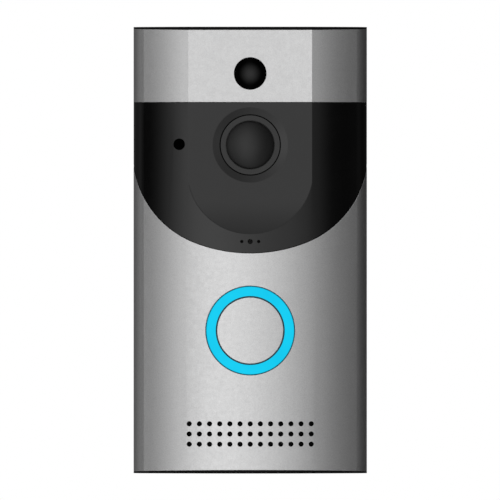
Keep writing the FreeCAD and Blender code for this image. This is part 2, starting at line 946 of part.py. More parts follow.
def front_profile(drawn, inset, back):
    """Cross-section of the unit: a bowed front that runs through round edges into
    straight sides, moved inwards by inset."""
    half = s.half_width - inset
    wide = worth(half)
    big = worth(s.front_radius - inset)
    small = worth(s.corner_radius - inset)
    middle = worth(s.depth - s.front_radius)
    corner_x = wide - small
    corner_y = middle + math.sqrt((big - small) ** 2 - corner_x**2)
    turn = math.atan2(corner_y - middle, corner_x)
    low = worth(back)
    spots = [(-wide, low), (wide, low), (wide, corner_y), (-wide, corner_y)]
    points = [FreeCAD.Vector(px, py, 0) for px, py in spots]
    corner = FreeCAD.Vector(corner_x, corner_y, 0)
    other = FreeCAD.Vector(-corner_x, corner_y, 0)
    front = Part.Circle(FreeCAD.Vector(0, middle, 0), UP, big)
    pieces = [
        Part.LineSegment(points[0], points[1]),
        Part.LineSegment(points[1], points[2]),
        Part.ArcOfCircle(Part.Circle(corner, UP, small), 0, turn),
        Part.ArcOfCircle(front, turn, math.pi - turn),
        Part.ArcOfCircle(Part.Circle(other, UP, small), math.pi - turn, math.pi),
        Part.LineSegment(points[3], points[0]),
    ]
    drawn.addGeometry(pieces, False)
    foot, right, right_arc, bow, left_arc, left = range(6)
    for rule in (
        ("Coincident", foot, 2, right, 1),
        ("Coincident", left, 2, foot, 1),
        ("Tangent", right, 2, right_arc, 1),
        ("Tangent", right_arc, 2, bow, 1),
        ("Tangent", bow, 2, left_arc, 1),
        ("Tangent", left_arc, 2, left, 1),
        ("Horizontal", foot),
        ("Vertical", right),
        ("Vertical", left),
        ("PointOnObject", bow, 3, -2),
        ("Equal", right_arc, left_arc),
    ):
        drawn.addConstraint(Sketcher.Constraint(*rule))
    fix(drawn, "Radius", (bow,), s.front_radius - inset)
    fix(drawn, "Radius", (right_arc,), s.corner_radius - inset)
    fix(drawn, "DistanceX", (-1, 1, foot, 2), half)
    fix(drawn, "DistanceX", (foot, 1, -1, 1), half)
    fix(drawn, "DistanceY", (-1, 1, foot, 1), back)
    fix(drawn, "DistanceY", (bow, 3, -1, 1), s.front_radius - s.depth)


def form(name, inset, back, half_height):
    """The solid form of the unit moved inwards by inset, with the flat tongue that runs
    down its front from the top edge and rises over a ramp to a round end."""
    solid = body(name)
    drawn = sketch(solid, f"{name}_profile", "top")
    front_profile(drawn, inset, back)
    prism = solid.newObject("PartDesign::Pad", f"{name}_prism")
    prism.Profile = drawn
    prism.Midplane = True
    prism.setExpression("Length", bound(2 * half_height))
    cutter = body(f"{name}_tongue")
    half = s.tongue_radius + inset
    floor = s.facet_depth - inset
    over = s.depth + s.skin
    sides = between(-half, half, s.tongue_z, s.half_height + s.skin)
    add(cutter, f"{name}_tongue_sides", [sides], floor, over)
    add(cutter, f"{name}_tongue_end", [disc(0, s.tongue_z, half)], floor, over)
    below = s.tongue_low - inset - s.skin
    ramp = outline(
        (floor, s.ramp_z, s.ramp_radius),
        (floor + s.ramp_rise, s.tongue_low),
        (floor + s.ramp_rise, below),
        (floor - s.skin, below),
        (floor - s.skin, s.ramp_z),
    )
    extrude(cutter, f"{name}_ramp", "Pocket", "side", [ramp], 0, 2 * s.half_width, both=True)
    return minus(f"{name}_cut", solid, cutter)


def window_outline(grow, top):
    """Outline of the dark window as seen from the front. Its lower edge is a wide arc
    between two tighter ones that run into the sides."""
    side = s.half_width + s.window_over + grow
    wide_radius = s.window_radius + grow
    side_radius = s.window_side_radius + grow
    low = s.window_low - grow

    def draw(drawn):
        edge, big, small = worth(side), worth(wide_radius), worth(side_radius)
        middle = worth(low) + big
        corner_x = edge - small
        corner_z = middle - math.sqrt((big - small) ** 2 - corner_x**2)
        turn = math.atan2(corner_z - middle, corner_x)
        high = worth(top)
        first = drawn.GeometryCount
        corner = FreeCAD.Vector(corner_x, corner_z, 0)
        other = FreeCAD.Vector(-corner_x, corner_z, 0)
        centre = FreeCAD.Vector(0, middle, 0)
        spots = [(edge, corner_z), (edge, high), (-edge, high), (-edge, corner_z)]
        points = [FreeCAD.Vector(px, pz, 0) for px, pz in spots]
        pieces = [
            Part.ArcOfCircle(Part.Circle(centre, UP, big), -math.pi - turn, turn),
            Part.ArcOfCircle(Part.Circle(corner, UP, small), turn, 0),
            Part.LineSegment(points[0], points[1]),
            Part.LineSegment(points[1], points[2]),
            Part.LineSegment(points[2], points[3]),
            Part.ArcOfCircle(Part.Circle(other, UP, small), -math.pi, -math.pi - turn),
        ]
        drawn.addGeometry(pieces, False)
        low_arc, right_arc, right, upper, left, left_arc = range(first, first + 6)
        for rule in (
            ("Tangent", low_arc, 2, right_arc, 1),
            ("Tangent", right_arc, 2, right, 1),
            ("Coincident", right, 2, upper, 1),
            ("Coincident", upper, 2, left, 1),
            ("Tangent", left, 2, left_arc, 1),
            ("Tangent", left_arc, 2, low_arc, 1),
            ("Vertical", right),
            ("Horizontal", upper),
            ("Vertical", left),
            ("PointOnObject", low_arc, 3, -2),
            ("Equal", right_arc, left_arc),
        ):
            drawn.addConstraint(Sketcher.Constraint(*rule))
        fix(drawn, "Radius", (low_arc,), wide_radius)
        fix(drawn, "Radius", (right_arc,), side_radius)
        fix(drawn, "DistanceX", (-1, 1, right, 2), side)
        fix(drawn, "DistanceX", (upper, 2, -1, 1), side)
        fix(drawn, "DistanceY", (-1, 1, right, 2), top)
        fix(drawn, "DistanceY", (-1, 1, low_arc, 3), low + wide_radius)

    return draw


def end_trim(name, extra):
    """What the painted skins keep: their ends slope so that a black edge shows."""
    trim = body(name)
    near = s.split_depth - extra
    far = s.depth + s.skin
    side = outline(
        (near, s.end_back_z + extra),
        (near, -s.end_back_z - extra),
        (far, -s.end_front_z - extra),
        (far, s.end_front_z + extra),
    )
    wide = 2 * (s.half_width + s.skin)
    extrude(trim, f"{name}_pad", "Pad", "side", [side], 0, wide, both=True)
    return trim


def skins():
    """The thin front of the unit, which the window, the cover and the band share."""
    whole = minus("skin_full", outer, form("skin_inside", s.skin, s.back_wall, over_height))
    return overlap("skin_blank", whole, end_trim("skin_ends", size(0)))


def camera_window(blank):
    """Dark window with the hollow round the lens."""
    window = node("camera_window", blank)
    everything = rectangle(0, size(0), 4 * s.half_width, 4 * s.half_height)
    edge = window_outline(size(0), s.band_z - s.parting)
    cut(window, "window_edge", [everything, edge], s.back_depth, far_front)
    cut(window, "lens_hole", [disc(*LENS, s.lens_hole)], s.back_wall, far_front)
    hollow = [
        (s.dish_floor, 0),
        (s.dish_floor, s.lens_hole),
        (s.facet_depth, s.dish_radius),
        (s.depth, s.dish_radius),
        (s.depth, 0),
    ]
    turned(window, "lens_dish", LENS, hollow, "Groove")
    cut(window, "sensor_hole", [disc(*LIGHT_SENSOR, s.sensor_radius)], s.back_wall, far_front)
    cut(window, "mic_hole", [disc(*MICROPHONE, s.mic_hole)], s.back_wall, far_front)
    seat = s.depth - s.skin + s.snug
    cut(window, "boot_seat", [disc(*MICROPHONE, s.boot_radius + s.fit)], s.back_wall, seat)
    cut(window, "status_holes", discs(STATUS, s.status_hole), s.back_wall, far_front)
    cut(window, "pipe_seats", discs(STATUS, s.status_pipe + s.snug), s.back_wall, seat)


def front_cover(blank):
    """Painted cover with the button hole and the grille."""
    cover = node("front_cover", blank)
    edge = window_outline(s.parting, over_height)
    cut(cover, "cover_edge", [edge], s.back_depth, far_front)
    hole = disc(*BUTTON, s.ring_radius + s.snug)
    cut(cover, "button_hole", [hole], s.back_wall, far_front)
    across = s.grille_pitch * (s.grille_columns - 1)
    up = s.grille_pitch * (s.grille_rows - 1)
    corner = disc(-across / 2, s.grille_z - up / 2, s.grille_hole)
    first = cut(cover, "grille_corner", [corner], s.back_wall, far_front)
    array(cover, "grille_holes", first, (across, s.grille_columns), (up, s.grille_rows))


def top_band(blank):
    """Painted band above the window."""
    band = node("top_band", blank)
    low = between(-2 * s.half_width, 2 * s.half_width, -over_height, s.band_z)
    cut(band, "band_edge", [low], s.back_depth, far_front)
    cut(band, "pir_hole", [disc(*MOVEMENT, s.pir_radius + s.snug)], s.back_wall, far_front)


def mesh_block(name, grow, near):
    """Room of the cloth behind the grille, grown by grow on each side."""
    block = body(name)
    half_width, half_height = s.mesh_half_width + grow, s.mesh_half_height + grow
    area = rectangle(*GRILLE, 2 * half_width, 2 * half_height)
    add(block, f"{name}_pad", [area], near, far_front)
    return block


def front_frame():
    """Black frame behind the skins. It shows at both ends and holds all that is in front."""
    outside = form("frame_outside", s.frame_inset, s.split_depth, s.half_height)
    caps = minus("end_caps", outer, end_trim("frame_ends", s.snug))
    inside_height = s.half_height - s.end_wall
    inside = form("frame_inside", s.inside_inset, s.back_wall, inside_height)
    floor = form("mesh_floor", s.frame_inset + s.mesh + s.head_fit, s.back_wall, over_height)
    room = minus("mesh_recess", mesh_block("mesh_area", s.fit, s.split_depth + s.play), floor)
    hollow = minus("frame_hollow", union("frame_full", outside, caps), inside)
    frame = node("front_frame", minus("frame_recessed", hollow, room))
    behind_facet = s.facet_inside + s.play

    guide = s.ring_guide + s.fit
    wall = [disc(*BUTTON, s.button_boss), disc(*BUTTON, guide)]
    add(frame, "button_boss", wall, s.button_boss_back, s.ring_seat)
    seat = disc(*BUTTON, s.ring_radius + s.fit)
    cut(frame, "ring_seat_cut", [seat], s.ring_seat, far_front)
    cut(frame, "ring_hole", [disc(*BUTTON, guide)], s.split_depth, far_front)

    rim = [
        rectangle(*SPEAKER, s.speaker_width + 2 * grow, s.speaker_height + grow)
        for grow in (s.speaker_rim, -s.speaker_land)
    ]
    rim_front = s.speaker_rim_back + s.speaker_rim_height
    add(frame, "speaker_rim_wall", rim, s.speaker_rim_back, rim_front)
    opening = rectangle(
        *GRILLE, s.speaker_width - 2 * s.speaker_land, 2 * (s.mesh_half_height - s.grille_hole)
    )
    cut(frame, "sound_window", [opening], s.speaker_rim_back, far_front)
    posts = discs(EARS, s.speaker_post)
    add(frame, "speaker_posts", posts, s.speaker_ear_front, rim_front - s.root)
    pegs_back = s.speaker_ear_front - s.speaker_ear - s.play
    pegs_front = s.speaker_ear_front + s.root
    add(frame, "speaker_pegs", discs(EARS, s.speaker_peg), pegs_back, pegs_front)

    shoulders = discs(CAMERA_POSTS, s.post_shoulder)
    add(frame, "post_shoulders", shoulders, s.ir_board_front, behind_facet)
    posts_front = s.ir_board_front + s.fit
    add(
        frame,
        "camera_posts",
        discs(CAMERA_POSTS, s.post_radius),
        s.camera_board_front,
        posts_front,
    )
    bores = discs(CAMERA_POSTS, s.small_screw + s.thread_fit)
    deep = s.camera_board_front + s.small_screw_grip + s.play
    cut(frame, "camera_post_holes", bores, s.camera_board_front, deep)
    posts = discs(PIR_POSTS, s.pir_post)
    add(frame, "pir_posts", posts, s.pir_board_front, behind_facet)
    pegs = discs(PIR_POSTS, s.pir_peg)
    add(frame, "pir_pegs", pegs, s.pir_board_back - s.play, s.pir_board_front + s.play)

    bosses = discs(CASE_SCREWS, s.case_boss)
    add(frame, "case_bosses", bosses, s.split_depth, s.case_boss_front)
    bores = discs(CASE_SCREWS, s.case_screw + s.thread_fit)
    deep = s.split_depth + s.case_screw_grip + s.play
    cut(frame, "case_screw_holes", bores, s.split_depth, deep)

    feet = discs(BOARD_PEGS, s.board_foot)
    feet_front = s.button_board_front + s.board_foot_height
    add(frame, "board_feet", feet, s.button_board_front, feet_front)
    pegs = discs(BOARD_PEGS, s.board_peg)
    pegs_back = s.button_board_back + s.snug
    add(frame, "board_pegs", pegs, pegs_back, s.button_board_front + s.fit)
    half = s.button_board_width / 2 + s.service_fit
    low = s.tongue_low - s.inside_inset - s.frame_wall
    pocket = between(-half, half, low, s.button_board_high + s.service_fit)
    floor = s.facet_inside - s.frame_wall
    cut(frame, "board_pocket", [pocket], floor, s.button_board_front + s.fit)
    half = s.mic_width / 2 + s.mic_height
    pocket = between(-half, half, low, s.mic_z + s.mic_height)
    cut(frame, "mic_pocket", [pocket], floor, s.button_board_front + s.mic_case + s.head_fit)

    for name, shapes, back in (
        ("boot_bore", [disc(*MICROPHONE, s.boot_radius + s.snug)], s.button_board_front),
        ("pipe_bores", discs(STATUS, s.status_pipe + s.snug), s.button_board_front),
        ("lens_bore", [disc(*LENS, s.lens_hole)], s.ir_board_front),
        ("pir_bore", [disc(*MOVEMENT, s.pir_radius + s.fit)], s.pir_foot),
        ("sensor_bore", [disc(*LIGHT_SENSOR, s.sensor_flange + s.fit)], s.ir_board_front),
        ("led_bores", discs(LEDS, s.ir_led_dome + s.play), s.ir_board_front),
    ):
        cut(frame, name, shapes, back, far_front)


def lens():
    """Lens window: a clear dome in a stepped bezel, with a foam seal behind the flange."""
    dome = domed("dome", LENS, s.dome_radius, s.dome_seat, s.dome_centre, s.dome_sphere)
    hollow = domed(
        "dome_inside",
        LENS,
        s.dome_radius - s.dome_wall,
        s.dome_seat - s.root,
        s.dome_centre,
        s.dome_sphere - s.dome_wall,
    )
    node("lens_cover", minus("dome_shell", dome, hollow))
    cup = s.dome_radius + s.dome_line
    section = [
        (s.bezel_foot, s.bezel_bore),
        (s.bezel_foot, s.bezel_flange),
        (s.bezel_step, s.bezel_flange),
        (s.bezel_step, s.bezel_radius),
        (s.dish_floor, s.bezel_radius),
        (s.dish_floor, cup),
        (s.dome_seat, cup),
        (s.dome_seat, s.bezel_bore),
    ]
    turned(node("lens_bezel"), "bezel_ring", LENS, section)
    outside = s.bezel_flange - s.fit
    seal = [disc(*LENS, outside), disc(*LENS, outside - s.seal_width)]
    plate("lens_seal", seal, s.bezel_step, s.facet_inside)


def camera():
    """Camera on its board: sensor, holder, and a barrel with a curved front glass."""
    front = s.barrel_front
    mouth = s.barrel_radius - s.barrel_wall
    seat = front - s.front_glass_seat - s.fit
    back = s.camera_board_front + s.chip_room
    section = [
        (back, s.pupil_radius),
        (back, s.barrel_radius),
        (front, s.barrel_radius),
        (front, mouth),
        (front - s.barrel_wall, mouth - s.fit),
        (seat, s.front_glass_radius + s.fit),
        (seat, s.pupil_radius),
    ]
    turned(node("lens_barrel"), "barrel_turned", LENS, section)
    centre = front + s.front_glass_rise - s.front_glass_sphere
    base = front - s.front_glass_seat
    sphere = s.front_glass_sphere
    node("lens_glass", domed("glass", LENS, s.front_glass_radius, base, centre, sphere))
    holder = plate(
        "lens_holder", [square(LENS, s.holder_width)], s.camera_board_front, s.holder_front
    )
    collar = [disc(*LENS, s.collar_radius)]
    add(holder, "holder_collar", collar, s.holder_front - s.holder_wall, s.collar_front)
    room = square(LENS, s.holder_width - 2 * s.holder_wall)
    roof = s.camera_board_front + s.chip_room + s.fit
    cut(holder, "holder_cavity", [room], s.camera_board_front, roof)
    thread = disc(*LENS, s.barrel_radius + s.thread_fit)
    cut(holder, "holder_thread", [thread], roof - s.fit, s.collar_front)
    chip = rectangle(*LENS, s.sensor_chip_width, s.sensor_chip_height)
    chip_front = s.camera_board_front + s.sensor_chip
    plate("image_sensor", [chip], s.camera_board_front, chip_front)
    half = s.camera_board_width / 2
    area = between(-half, half, s.camera_board_low, s.camera_board_high)
    board = plate("camera_board", [area], s.camera_board_back, s.camera_board_front)
    holes = discs(CAMERA_POSTS, s.small_screw + s.fit)
    cut(board, "camera_board_holes", holes, s.camera_board_back, s.camera_board_front)
    screws(
        "camera_screws",
        CAMERA_POSTS,
        s.small_head,
        s.small_screw,
        s.camera_board_back - s.small_head_height,
        s.camera_board_back,
        s.camera_board_front + s.small_screw_grip,
    )


def infrared_board():
    """Board of the night lamps and the light sensor, with the sensor's window."""
    high = s.camera_board_high + s.ir_board_over
    area = between(-s.ir_board_left, s.ir_board_right, s.camera_board_low, high)
    board = plate("ir_led_board", [area], s.ir_board_back, s.ir_board_front)
    holes = discs(CAMERA_POSTS, s.post_radius + s.fit)
    holes.append(disc(*LENS, s.collar_radius + s.play))
    cut(board, "ir_board_holes", holes, s.ir_board_back, s.ir_board_front)
    feet_front = s.ir_board_front + s.ir_led_foot
    feet = [square(p, s.ir_led_width) for p in LEDS]
    leds = plate("ir_leds", feet, s.ir_board_front, feet_front)
    add(leds, "ir_led_domes", discs(LEDS, s.ir_led_dome), feet_front, s.ir_led_front)
    eye_front = s.ir_board_front + s.sensor_height
    plate("light_sensor", [square(LIGHT_SENSOR, s.sensor_width)], s.ir_board_front, eye_front)
    flange_front = s.sensor_foot + s.sensor_flange_height
    flange = disc(*LIGHT_SENSOR, s.sensor_flange)
    pane = plate("light_sensor_window", [flange], s.sensor_foot, flange_front)
    rod = disc(*LIGHT_SENSOR, s.sensor_radius - s.snug)
    add(pane, "sensor_rod", [rod], flange_front - s.fit, s.sensor_front)


def movement_sensor():
    """Movement sensor on its board under a dark dome with a flange."""
    dome = domed("pir_dome", MOVEMENT, s.pir_radius, s.pir_foot, s.pir_centre, s.pir_sphere)
    lens_body = body("pir_lens_body", dome)
    flange = disc(*MOVEMENT, s.pir_flange)
    add(lens_body, "pir_flange_ring", [flange], s.pir_foot, s.facet_inside - s.snug)
    hollow = domed(
        "pir_inside",
        MOVEMENT,
        s.pir_radius - s.pir_wall,
        s.pir_foot - s.root,
        s.pir_centre,
        s.pir_sphere - s.pir_wall,
    )
    node("pir_lens", minus("pir_lens_hollow", lens_body, hollow))
    rim = disc(*MOVEMENT, s.pir_can + s.pir_can_rim)
    rim_front = s.pir_board_front + s.pir_can_rim
    can = plate("pir_sensor", [rim], s.pir_board_front, rim_front)
    wall = disc(*MOVEMENT, s.pir_can)
    add(can, "pir_can_wall", [wall], s.pir_board_front, s.pir_can_front)
    pupil = rectangle(*MOVEMENT, s.pir_pupil_width, s.pir_pupil_height)
    cut(can, "pir_pupil", [pupil], s.pir_can_front - s.play, s.pir_can_front)
    middle = s.pir_z + s.pir_board_over
    area = rectangle(0, middle, s.pir_board_width, s.pir_board_height)
    board = plate("pir_board", [area], s.pir_board_back, s.pir_board_front)
    holes = discs(PIR_POSTS, s.pir_peg + s.snug)
    cut(board, "pir_board_holes", holes, s.pir_board_back, s.pir_board_front)


def bell_button():
    """Cap that moves in its light ring, both trimmed to the bow of the front."""
    ring = body("ring_blank")
    shelf = s.flange_radius + 2 * s.fit
    section = [
        (s.ring_foot, s.ring_bore),
        (s.ring_foot, shelf),
        (s.ring_skirt, shelf),
        (s.ring_skirt, s.ring_guide),
        (s.ring_seat, s.ring_guide),
        (s.ring_seat, s.ring_radius),
        (far_front, s.ring_radius),
        (far_front, s.ring_bore),
    ]
    turned(ring, "ring_turned", BUTTON, section)
    trim = form("ring_front", s.ring_sink, s.split_depth, s.half_height)
    node("light_ring", overlap("ring_trimmed", ring, trim))
    cap = body("cap_blank")
    bore = s.cap_radius - s.cap_wall
    section = [
        (s.cap_post_back, 0),
        (s.cap_post_back, s.cap_post),
        (s.cap_hollow, s.cap_post),
        (s.cap_hollow, bore),
        (s.flange_back, bore),
        (s.flange_back, s.flange_radius),
        (s.flange_front, s.flange_radius),
        (s.flange_front, s.cap_radius),
        (far_front, s.cap_radius),
        (far_front, 0),
    ]
    turned(cap, "cap_turned", BUTTON, section)
    trim = form("cap_front", s.cap_sink, s.split_depth, s.half_height)
    node("button_cap", overlap("cap_trimmed", cap, trim))


def button_board():
    """Board behind the button with its switch, lamps, microphone and ribbon."""
    back, front = s.button_board_back, s.button_board_front
    half = s.button_board_width / 2
    area = between(-half, half, s.button_board_low, s.button_board_high)
    board = plate("button_board", [area], back, front)
    cut(board, "board_peg_holes", discs(BOARD_PEGS, s.board_peg + s.snug), back, front)
    switch = plate("button_switch", [square(BUTTON, s.switch_width)], front, s.switch_front)
    well = disc(*BUTTON, s.plunger_radius + s.fit)
    cut(switch, "switch_well", [well], front + s.snug, s.switch_front)
    plunger = disc(*BUTTON, s.plunger_radius)
    plate("switch_plunger", [plunger], s.switch_front - s.plunger_depth, s.plunger_front)

    ring_leds = node("ring_leds")
    chip = [rectangle(0, s.ring_led_radius, s.ring_led_width, s.ring_led_width)]
    first = extrude(
        ring_leds, "ring_led", "Pad", "front", chip, front, s.ring_led, offset=BUTTON
    )
    circle = ring_leds.newObject("PartDesign::PolarPattern", "ring_led_circle")
    circle.Originals = [first]
    circle.Axis = (first.Profile[0], ["N_Axis"])
    circle.Angle = 360
    circle.setExpression("Occurrences", bound(s.ring_led_count))
    ring_leds.Tip = circle

    case = rectangle(*MICROPHONE, s.mic_width, s.mic_height)
    plate("microphone", [case], front, front + s.mic_case)
    boot = [disc(*MICROPHONE, s.boot_radius), disc(*MICROPHONE, s.boot_bore)]
    seat = s.depth - s.skin - s.snug
    plate("microphone_boot", boot, front + s.mic_case + s.snug, seat)
    lamps = [rectangle(*p, s.status_led_width, s.status_led_height) for p in STATUS]
    plate("status_leds", lamps, front, front + s.status_led)
    pipes = plate(
        "status_light_pipes", discs(STATUS, s.status_pipe), front + s.status_led + s.fit, seat
    )
    tips = discs(STATUS, s.status_hole - s.thread_fit)
    add(pipes, "status_pipe_tips", tips, seat - s.fit, s.depth - s.status_behind)

    plug_front = s.board_front + s.mic_case + s.head_fit
    turn_low = s.bay_high + s.bay_wall + 2 * s.flex
    start, end = s.button_board_high - s.flex_start, s.board_low + s.flex_end
    path = outline(
        (back - s.flex, start),
        (back - s.flex, turn_low - s.flex),
        (plug_front, turn_low - s.flex),
        (plug_front, end),
        (plug_front + s.flex, end),
        (plug_front + s.flex, turn_low),
        (back, turn_low),
        (back, start),
    )
    ribbon = node("button_flex")
    extrude(ribbon, "ribbon", "Pad", "side", [path], s.flex_x, s.flex_width, both=True)


def loudspeaker():
    """Loudspeaker in its frame, and the cloth behind the grille."""
    box = rectangle(*SPEAKER, s.speaker_width, s.speaker_height)
    frame = plate("speaker_frame", [box], s.speaker_back, s.speaker_front)
    ear_reach = 2 * (s.speaker_ear_x + s.speaker_ear_width)
    ears = rectangle(*SPEAKER, ear_reach, s.speaker_ear_height)
    ear_back = s.speaker_ear_front - s.speaker_ear
    add(frame, "speaker_ears", [ears], ear_back, s.speaker_ear_front)
    holes = discs(EARS, s.speaker_peg + s.snug)
    cut(frame, "ear_holes", holes, ear_back, s.speaker_ear_front)
    width, height = s.speaker_width - 2 * s.speaker_wall, s.speaker_height - 2 * s.speaker_land
    cone_back = s.speaker_front - s.speaker_mouth
    mouth = rectangle(*SPEAKER, width, height)
    cut(frame, "speaker_mouth", [mouth], cone_back, s.speaker_front)
    magnet = rectangle(*SPEAKER, s.magnet_width, s.magnet_height)
    plate("speaker_magnet", [magnet], s.speaker_back - s.magnet, s.speaker_back)
    edge_front = cone_back + s.cone_edge
    surround = rectangle(*SPEAKER, width - s.fit, height - s.fit)
    cone = plate("speaker_cone", [surround], cone_back, edge_front)
    piston = rounded_about(
        SPEAKER, width - 2 * s.cone_side, height - 2 * s.cone_end, s.cone_corner
    )
    add(cone, "cone_dome", [piston], edge_front - s.fit, edge_front + s.cone_rise)
    gasket = [
        rectangle(*SPEAKER, s.speaker_width - 2 * ring, s.speaker_height - 2 * ring)
        for ring in (size(0), s.speaker_land)
    ]
    plate("speaker_gasket", gasket, s.speaker_front, s.speaker_rim_back)
    outside = form("mesh_outside", s.frame_inset + s.snug, s.split_depth, s.half_height)
    inner = s.frame_inset + s.snug + s.mesh
    inside = form("mesh_inside", inner, s.back_wall, over_height)
    sheet_form = minus("mesh_skin", outside, inside)
    limits = mesh_block("mesh_limits", size(0), s.split_depth + s.root)
    node("speaker_mesh", overlap("mesh_sheet", sheet_form, limits))


def rounded_about(place, width, height, radius):
    x, z = place
    return rounded(x - width / 2, x + width / 2, z - height / 2, z + height / 2, radius)


def hook_room(place, side, below, above):
    """Sides of a box round a hook of the bracket, given from the hook's foot."""
    x, z = place
    half = s.hook_half_slot + side
    return between(x - half, x + half, z - below, z + above)


def back_case():
    """Back of the unit: recess for the bracket, battery bay, housings over the hooks."""
    back = node("back_case")
    whole = rectangle(0, size(0), 2 * s.half_width, 2 * s.half_height)
    add(back, "back_block", [whole], s.back_depth, s.split_depth)
    bevelled(back, "back_edges", s.back_edge, flat_at(s.back_depth))
    room = rectangle(0, size(0), 2 * s.rim_inside, 2 * (s.half_height - s.end_wall))
    cut(back, "back_room", [room], s.back_wall, s.split_depth)
    side = s.recess_half_width
    recess = between(-side, side, s.recess_low, s.recess_high)
    cut(back, "bracket_recess", [recess], s.back_depth, s.recess_depth)

    low, high = s.bay_low - s.bay_wall, s.bay_high + s.bay_wall
    walls = between(-s.bay_side, s.bay_side, low, high)
    add(back, "bay_tower", [walls], s.back_wall, s.bay_outside)
    bevels = [
        outline(
            (edge, s.bay_outside - s.bay_chamfer),
            (edge, s.bay_outside),
            (inner, s.bay_outside),
        )
        for edge, inner in (
            (s.bay_side, s.bay_side - s.bay_chamfer),
            (-s.bay_side, s.bay_chamfer - s.bay_side),
        )
    ]
    bored_up(back, "bay_bevels", bevels, low, high)
    below = s.lift + s.lift_spare
    above = s.hook_reach + s.lift_spare
    wall = s.hook_wall
    shells = [hook_room(p, wall, below + wall, above + wall) for p in HOOKS]
    add(back, "hook_housings", shells, s.back_wall, s.hook_front + s.lift_spare + s.bay_front_wall)
    half = s.tongue_half + s.tongue_room
    box = between(-half - wall, half + wall, s.stop_room_low - wall, s.bay_low - s.lift_spare)
    stop_roof = s.tongue_front + s.play
    add(back, "tongue_housing", [box], s.back_wall, stop_roof + wall)
    block_half = s.lock_block_half
    block = between(-block_half, block_half, s.root - s.half_height, s.stop_room_low - s.root)
    add(back, "lock_block", [block], s.recess_depth, s.lock_depth + s.lock_block_wall)
    add(back, "board_bosses", discs(BOARD_SCREWS, s.board_boss), s.back_wall, s.board_back)
    boss_front = s.back_wall + s.cover_boss_height
    add(back, "cover_bosses", discs(COVER_SCREWS, s.cover_boss), s.back_wall, boss_front)
    add(back, "case_bosses", discs(CASE_SCREWS, s.case_boss), s.recess_depth, s.split_depth)
    ribs = [
        rectangle(x * (1 + s.case_boss / s.case_screw_x), z, 2 * s.case_boss, s.case_rib)
        for x, z in CASE_SCREWS
    ]
    add(back, "boss_ribs", ribs, s.back_wall, s.case_head_seat + s.case_boss)
    lug_x = s.flap_width / 2 + s.lug_width / 2 + s.fit
    lugs = [
        rectangle(s.usb_x + x, s.flap_axle_z, s.lug_width, 2 * s.lug_half_height)
        for x in (lug_x, -lug_x)
    ]
    add(back, "flap_lugs", lugs, s.lug_back, s.back_wall)

    half, chamfer = s.bay_half_width, s.bay_chamfer - s.bay_chamfer_step
    bay = outline(
        (-half, s.back_depth - s.root),
        (half, s.back_depth - s.root),
        (half, s.bay_front - chamfer),
        (half - chamfer, s.bay_front),
        (chamfer - half, s.bay_front),
        (-half, s.bay_front - chamfer),
    )
    bored_up(back, "battery_bay", [bay], s.bay_low, s.bay_high)
    slots = [hook_room(p, 0, below, s.hook_stem + s.fit) for p in HOOKS]
    cut(back, "hook_slots", slots, s.back_depth, s.back_wall + s.fit)
    rooms = [hook_room(p, 0, below, above) for p in HOOKS]
    cut(back, "hook_rooms", rooms, s.back_wall, s.hook_front + s.lift_spare)
    half = s.tongue_half + s.tongue_room
    slot = between(-half, half, s.stop_room_low, s.opening_low + s.play)
    cut(back, "tongue_slot", [slot], s.back_depth, stop_roof)
    thread = s.small_screw + s.fit
    cut(back, "board_boss_holes", discs(BOARD_SCREWS, thread), s.back_wall, s.board_back)
    cut(
        back,
        "cover_boss_holes",
        discs(COVER_SCREWS, s.cover_screw + s.snug),
        s.recess_depth,
        s.cover_screw_tip + s.lift_spare,
    )
    bores = discs(CASE_SCREWS, s.case_screw + s.fit)
    cut(back, "case_bores", bores, s.back_depth, s.split_depth)
    bores = discs(CASE_SCREWS, s.case_head + s.head_fit)
    cut(back, "case_head_bores", bores, s.back_depth, s.case_head_seat)
    grow = 2 * s.service_fit
    service = [
        rectangle(*TERMINAL, s.terminal_width + grow, s.terminal_height + grow),
        rectangle(*SOCKET, s.usb_width + grow, s.usb_height + grow),
        disc(*RESET, s.reset_radius + s.fit),
    ]
    cut(back, "service_openings", service, s.back_depth, s.back_wall)
    reach = 2 * (s.usb_x + s.flap_width / 2 + s.lug_width + s.root)
    axle = disc(s.flap_axle_depth, s.flap_axle_z, s.flap_axle + s.axle_fit)
    extrude(back, "axle_bores", "Pocket", "side", [axle], 0, reach, both=True)
    under = -s.half_height - s.root
    shank = disc(0, s.lock_depth, s.lock_bore + s.lock_room)
    bored_up(back, "lock_bore", [shank], under, s.stop_room_low + s.lift_spare)
    head = disc(0, s.lock_depth, s.lock_head + s.lock_room)
    bored_up(back, "lock_counterbore", [head], under, s.lock_seat)
    groove = [
        rectangle(0, size(0), 2 * s.groove_x + grow, 2 * s.groove_z + grow)
        for grow in (s.groove_width, -s.groove_width)
    ]
    groove_floor = s.split_depth - s.groove_depth
    cut(back, "gasket_groove", groove, groove_floor, s.split_depth)
    gasket = [
        rectangle(0, size(0), 2 * s.groove_x + grow, 2 * s.groove_z + grow)
        for grow in (s.groove_width - s.fit, s.fit - s.groove_width)
    ]
    plate("case_gasket", gasket, groove_floor, s.split_depth)
    screws(
        "case_screws",
        CASE_SCREWS,
        s.case_head,
        s.case_screw,
        s.case_head_seat - s.case_head_height,
        s.case_head_seat,
        s.split_depth + s.case_screw_grip,
    )


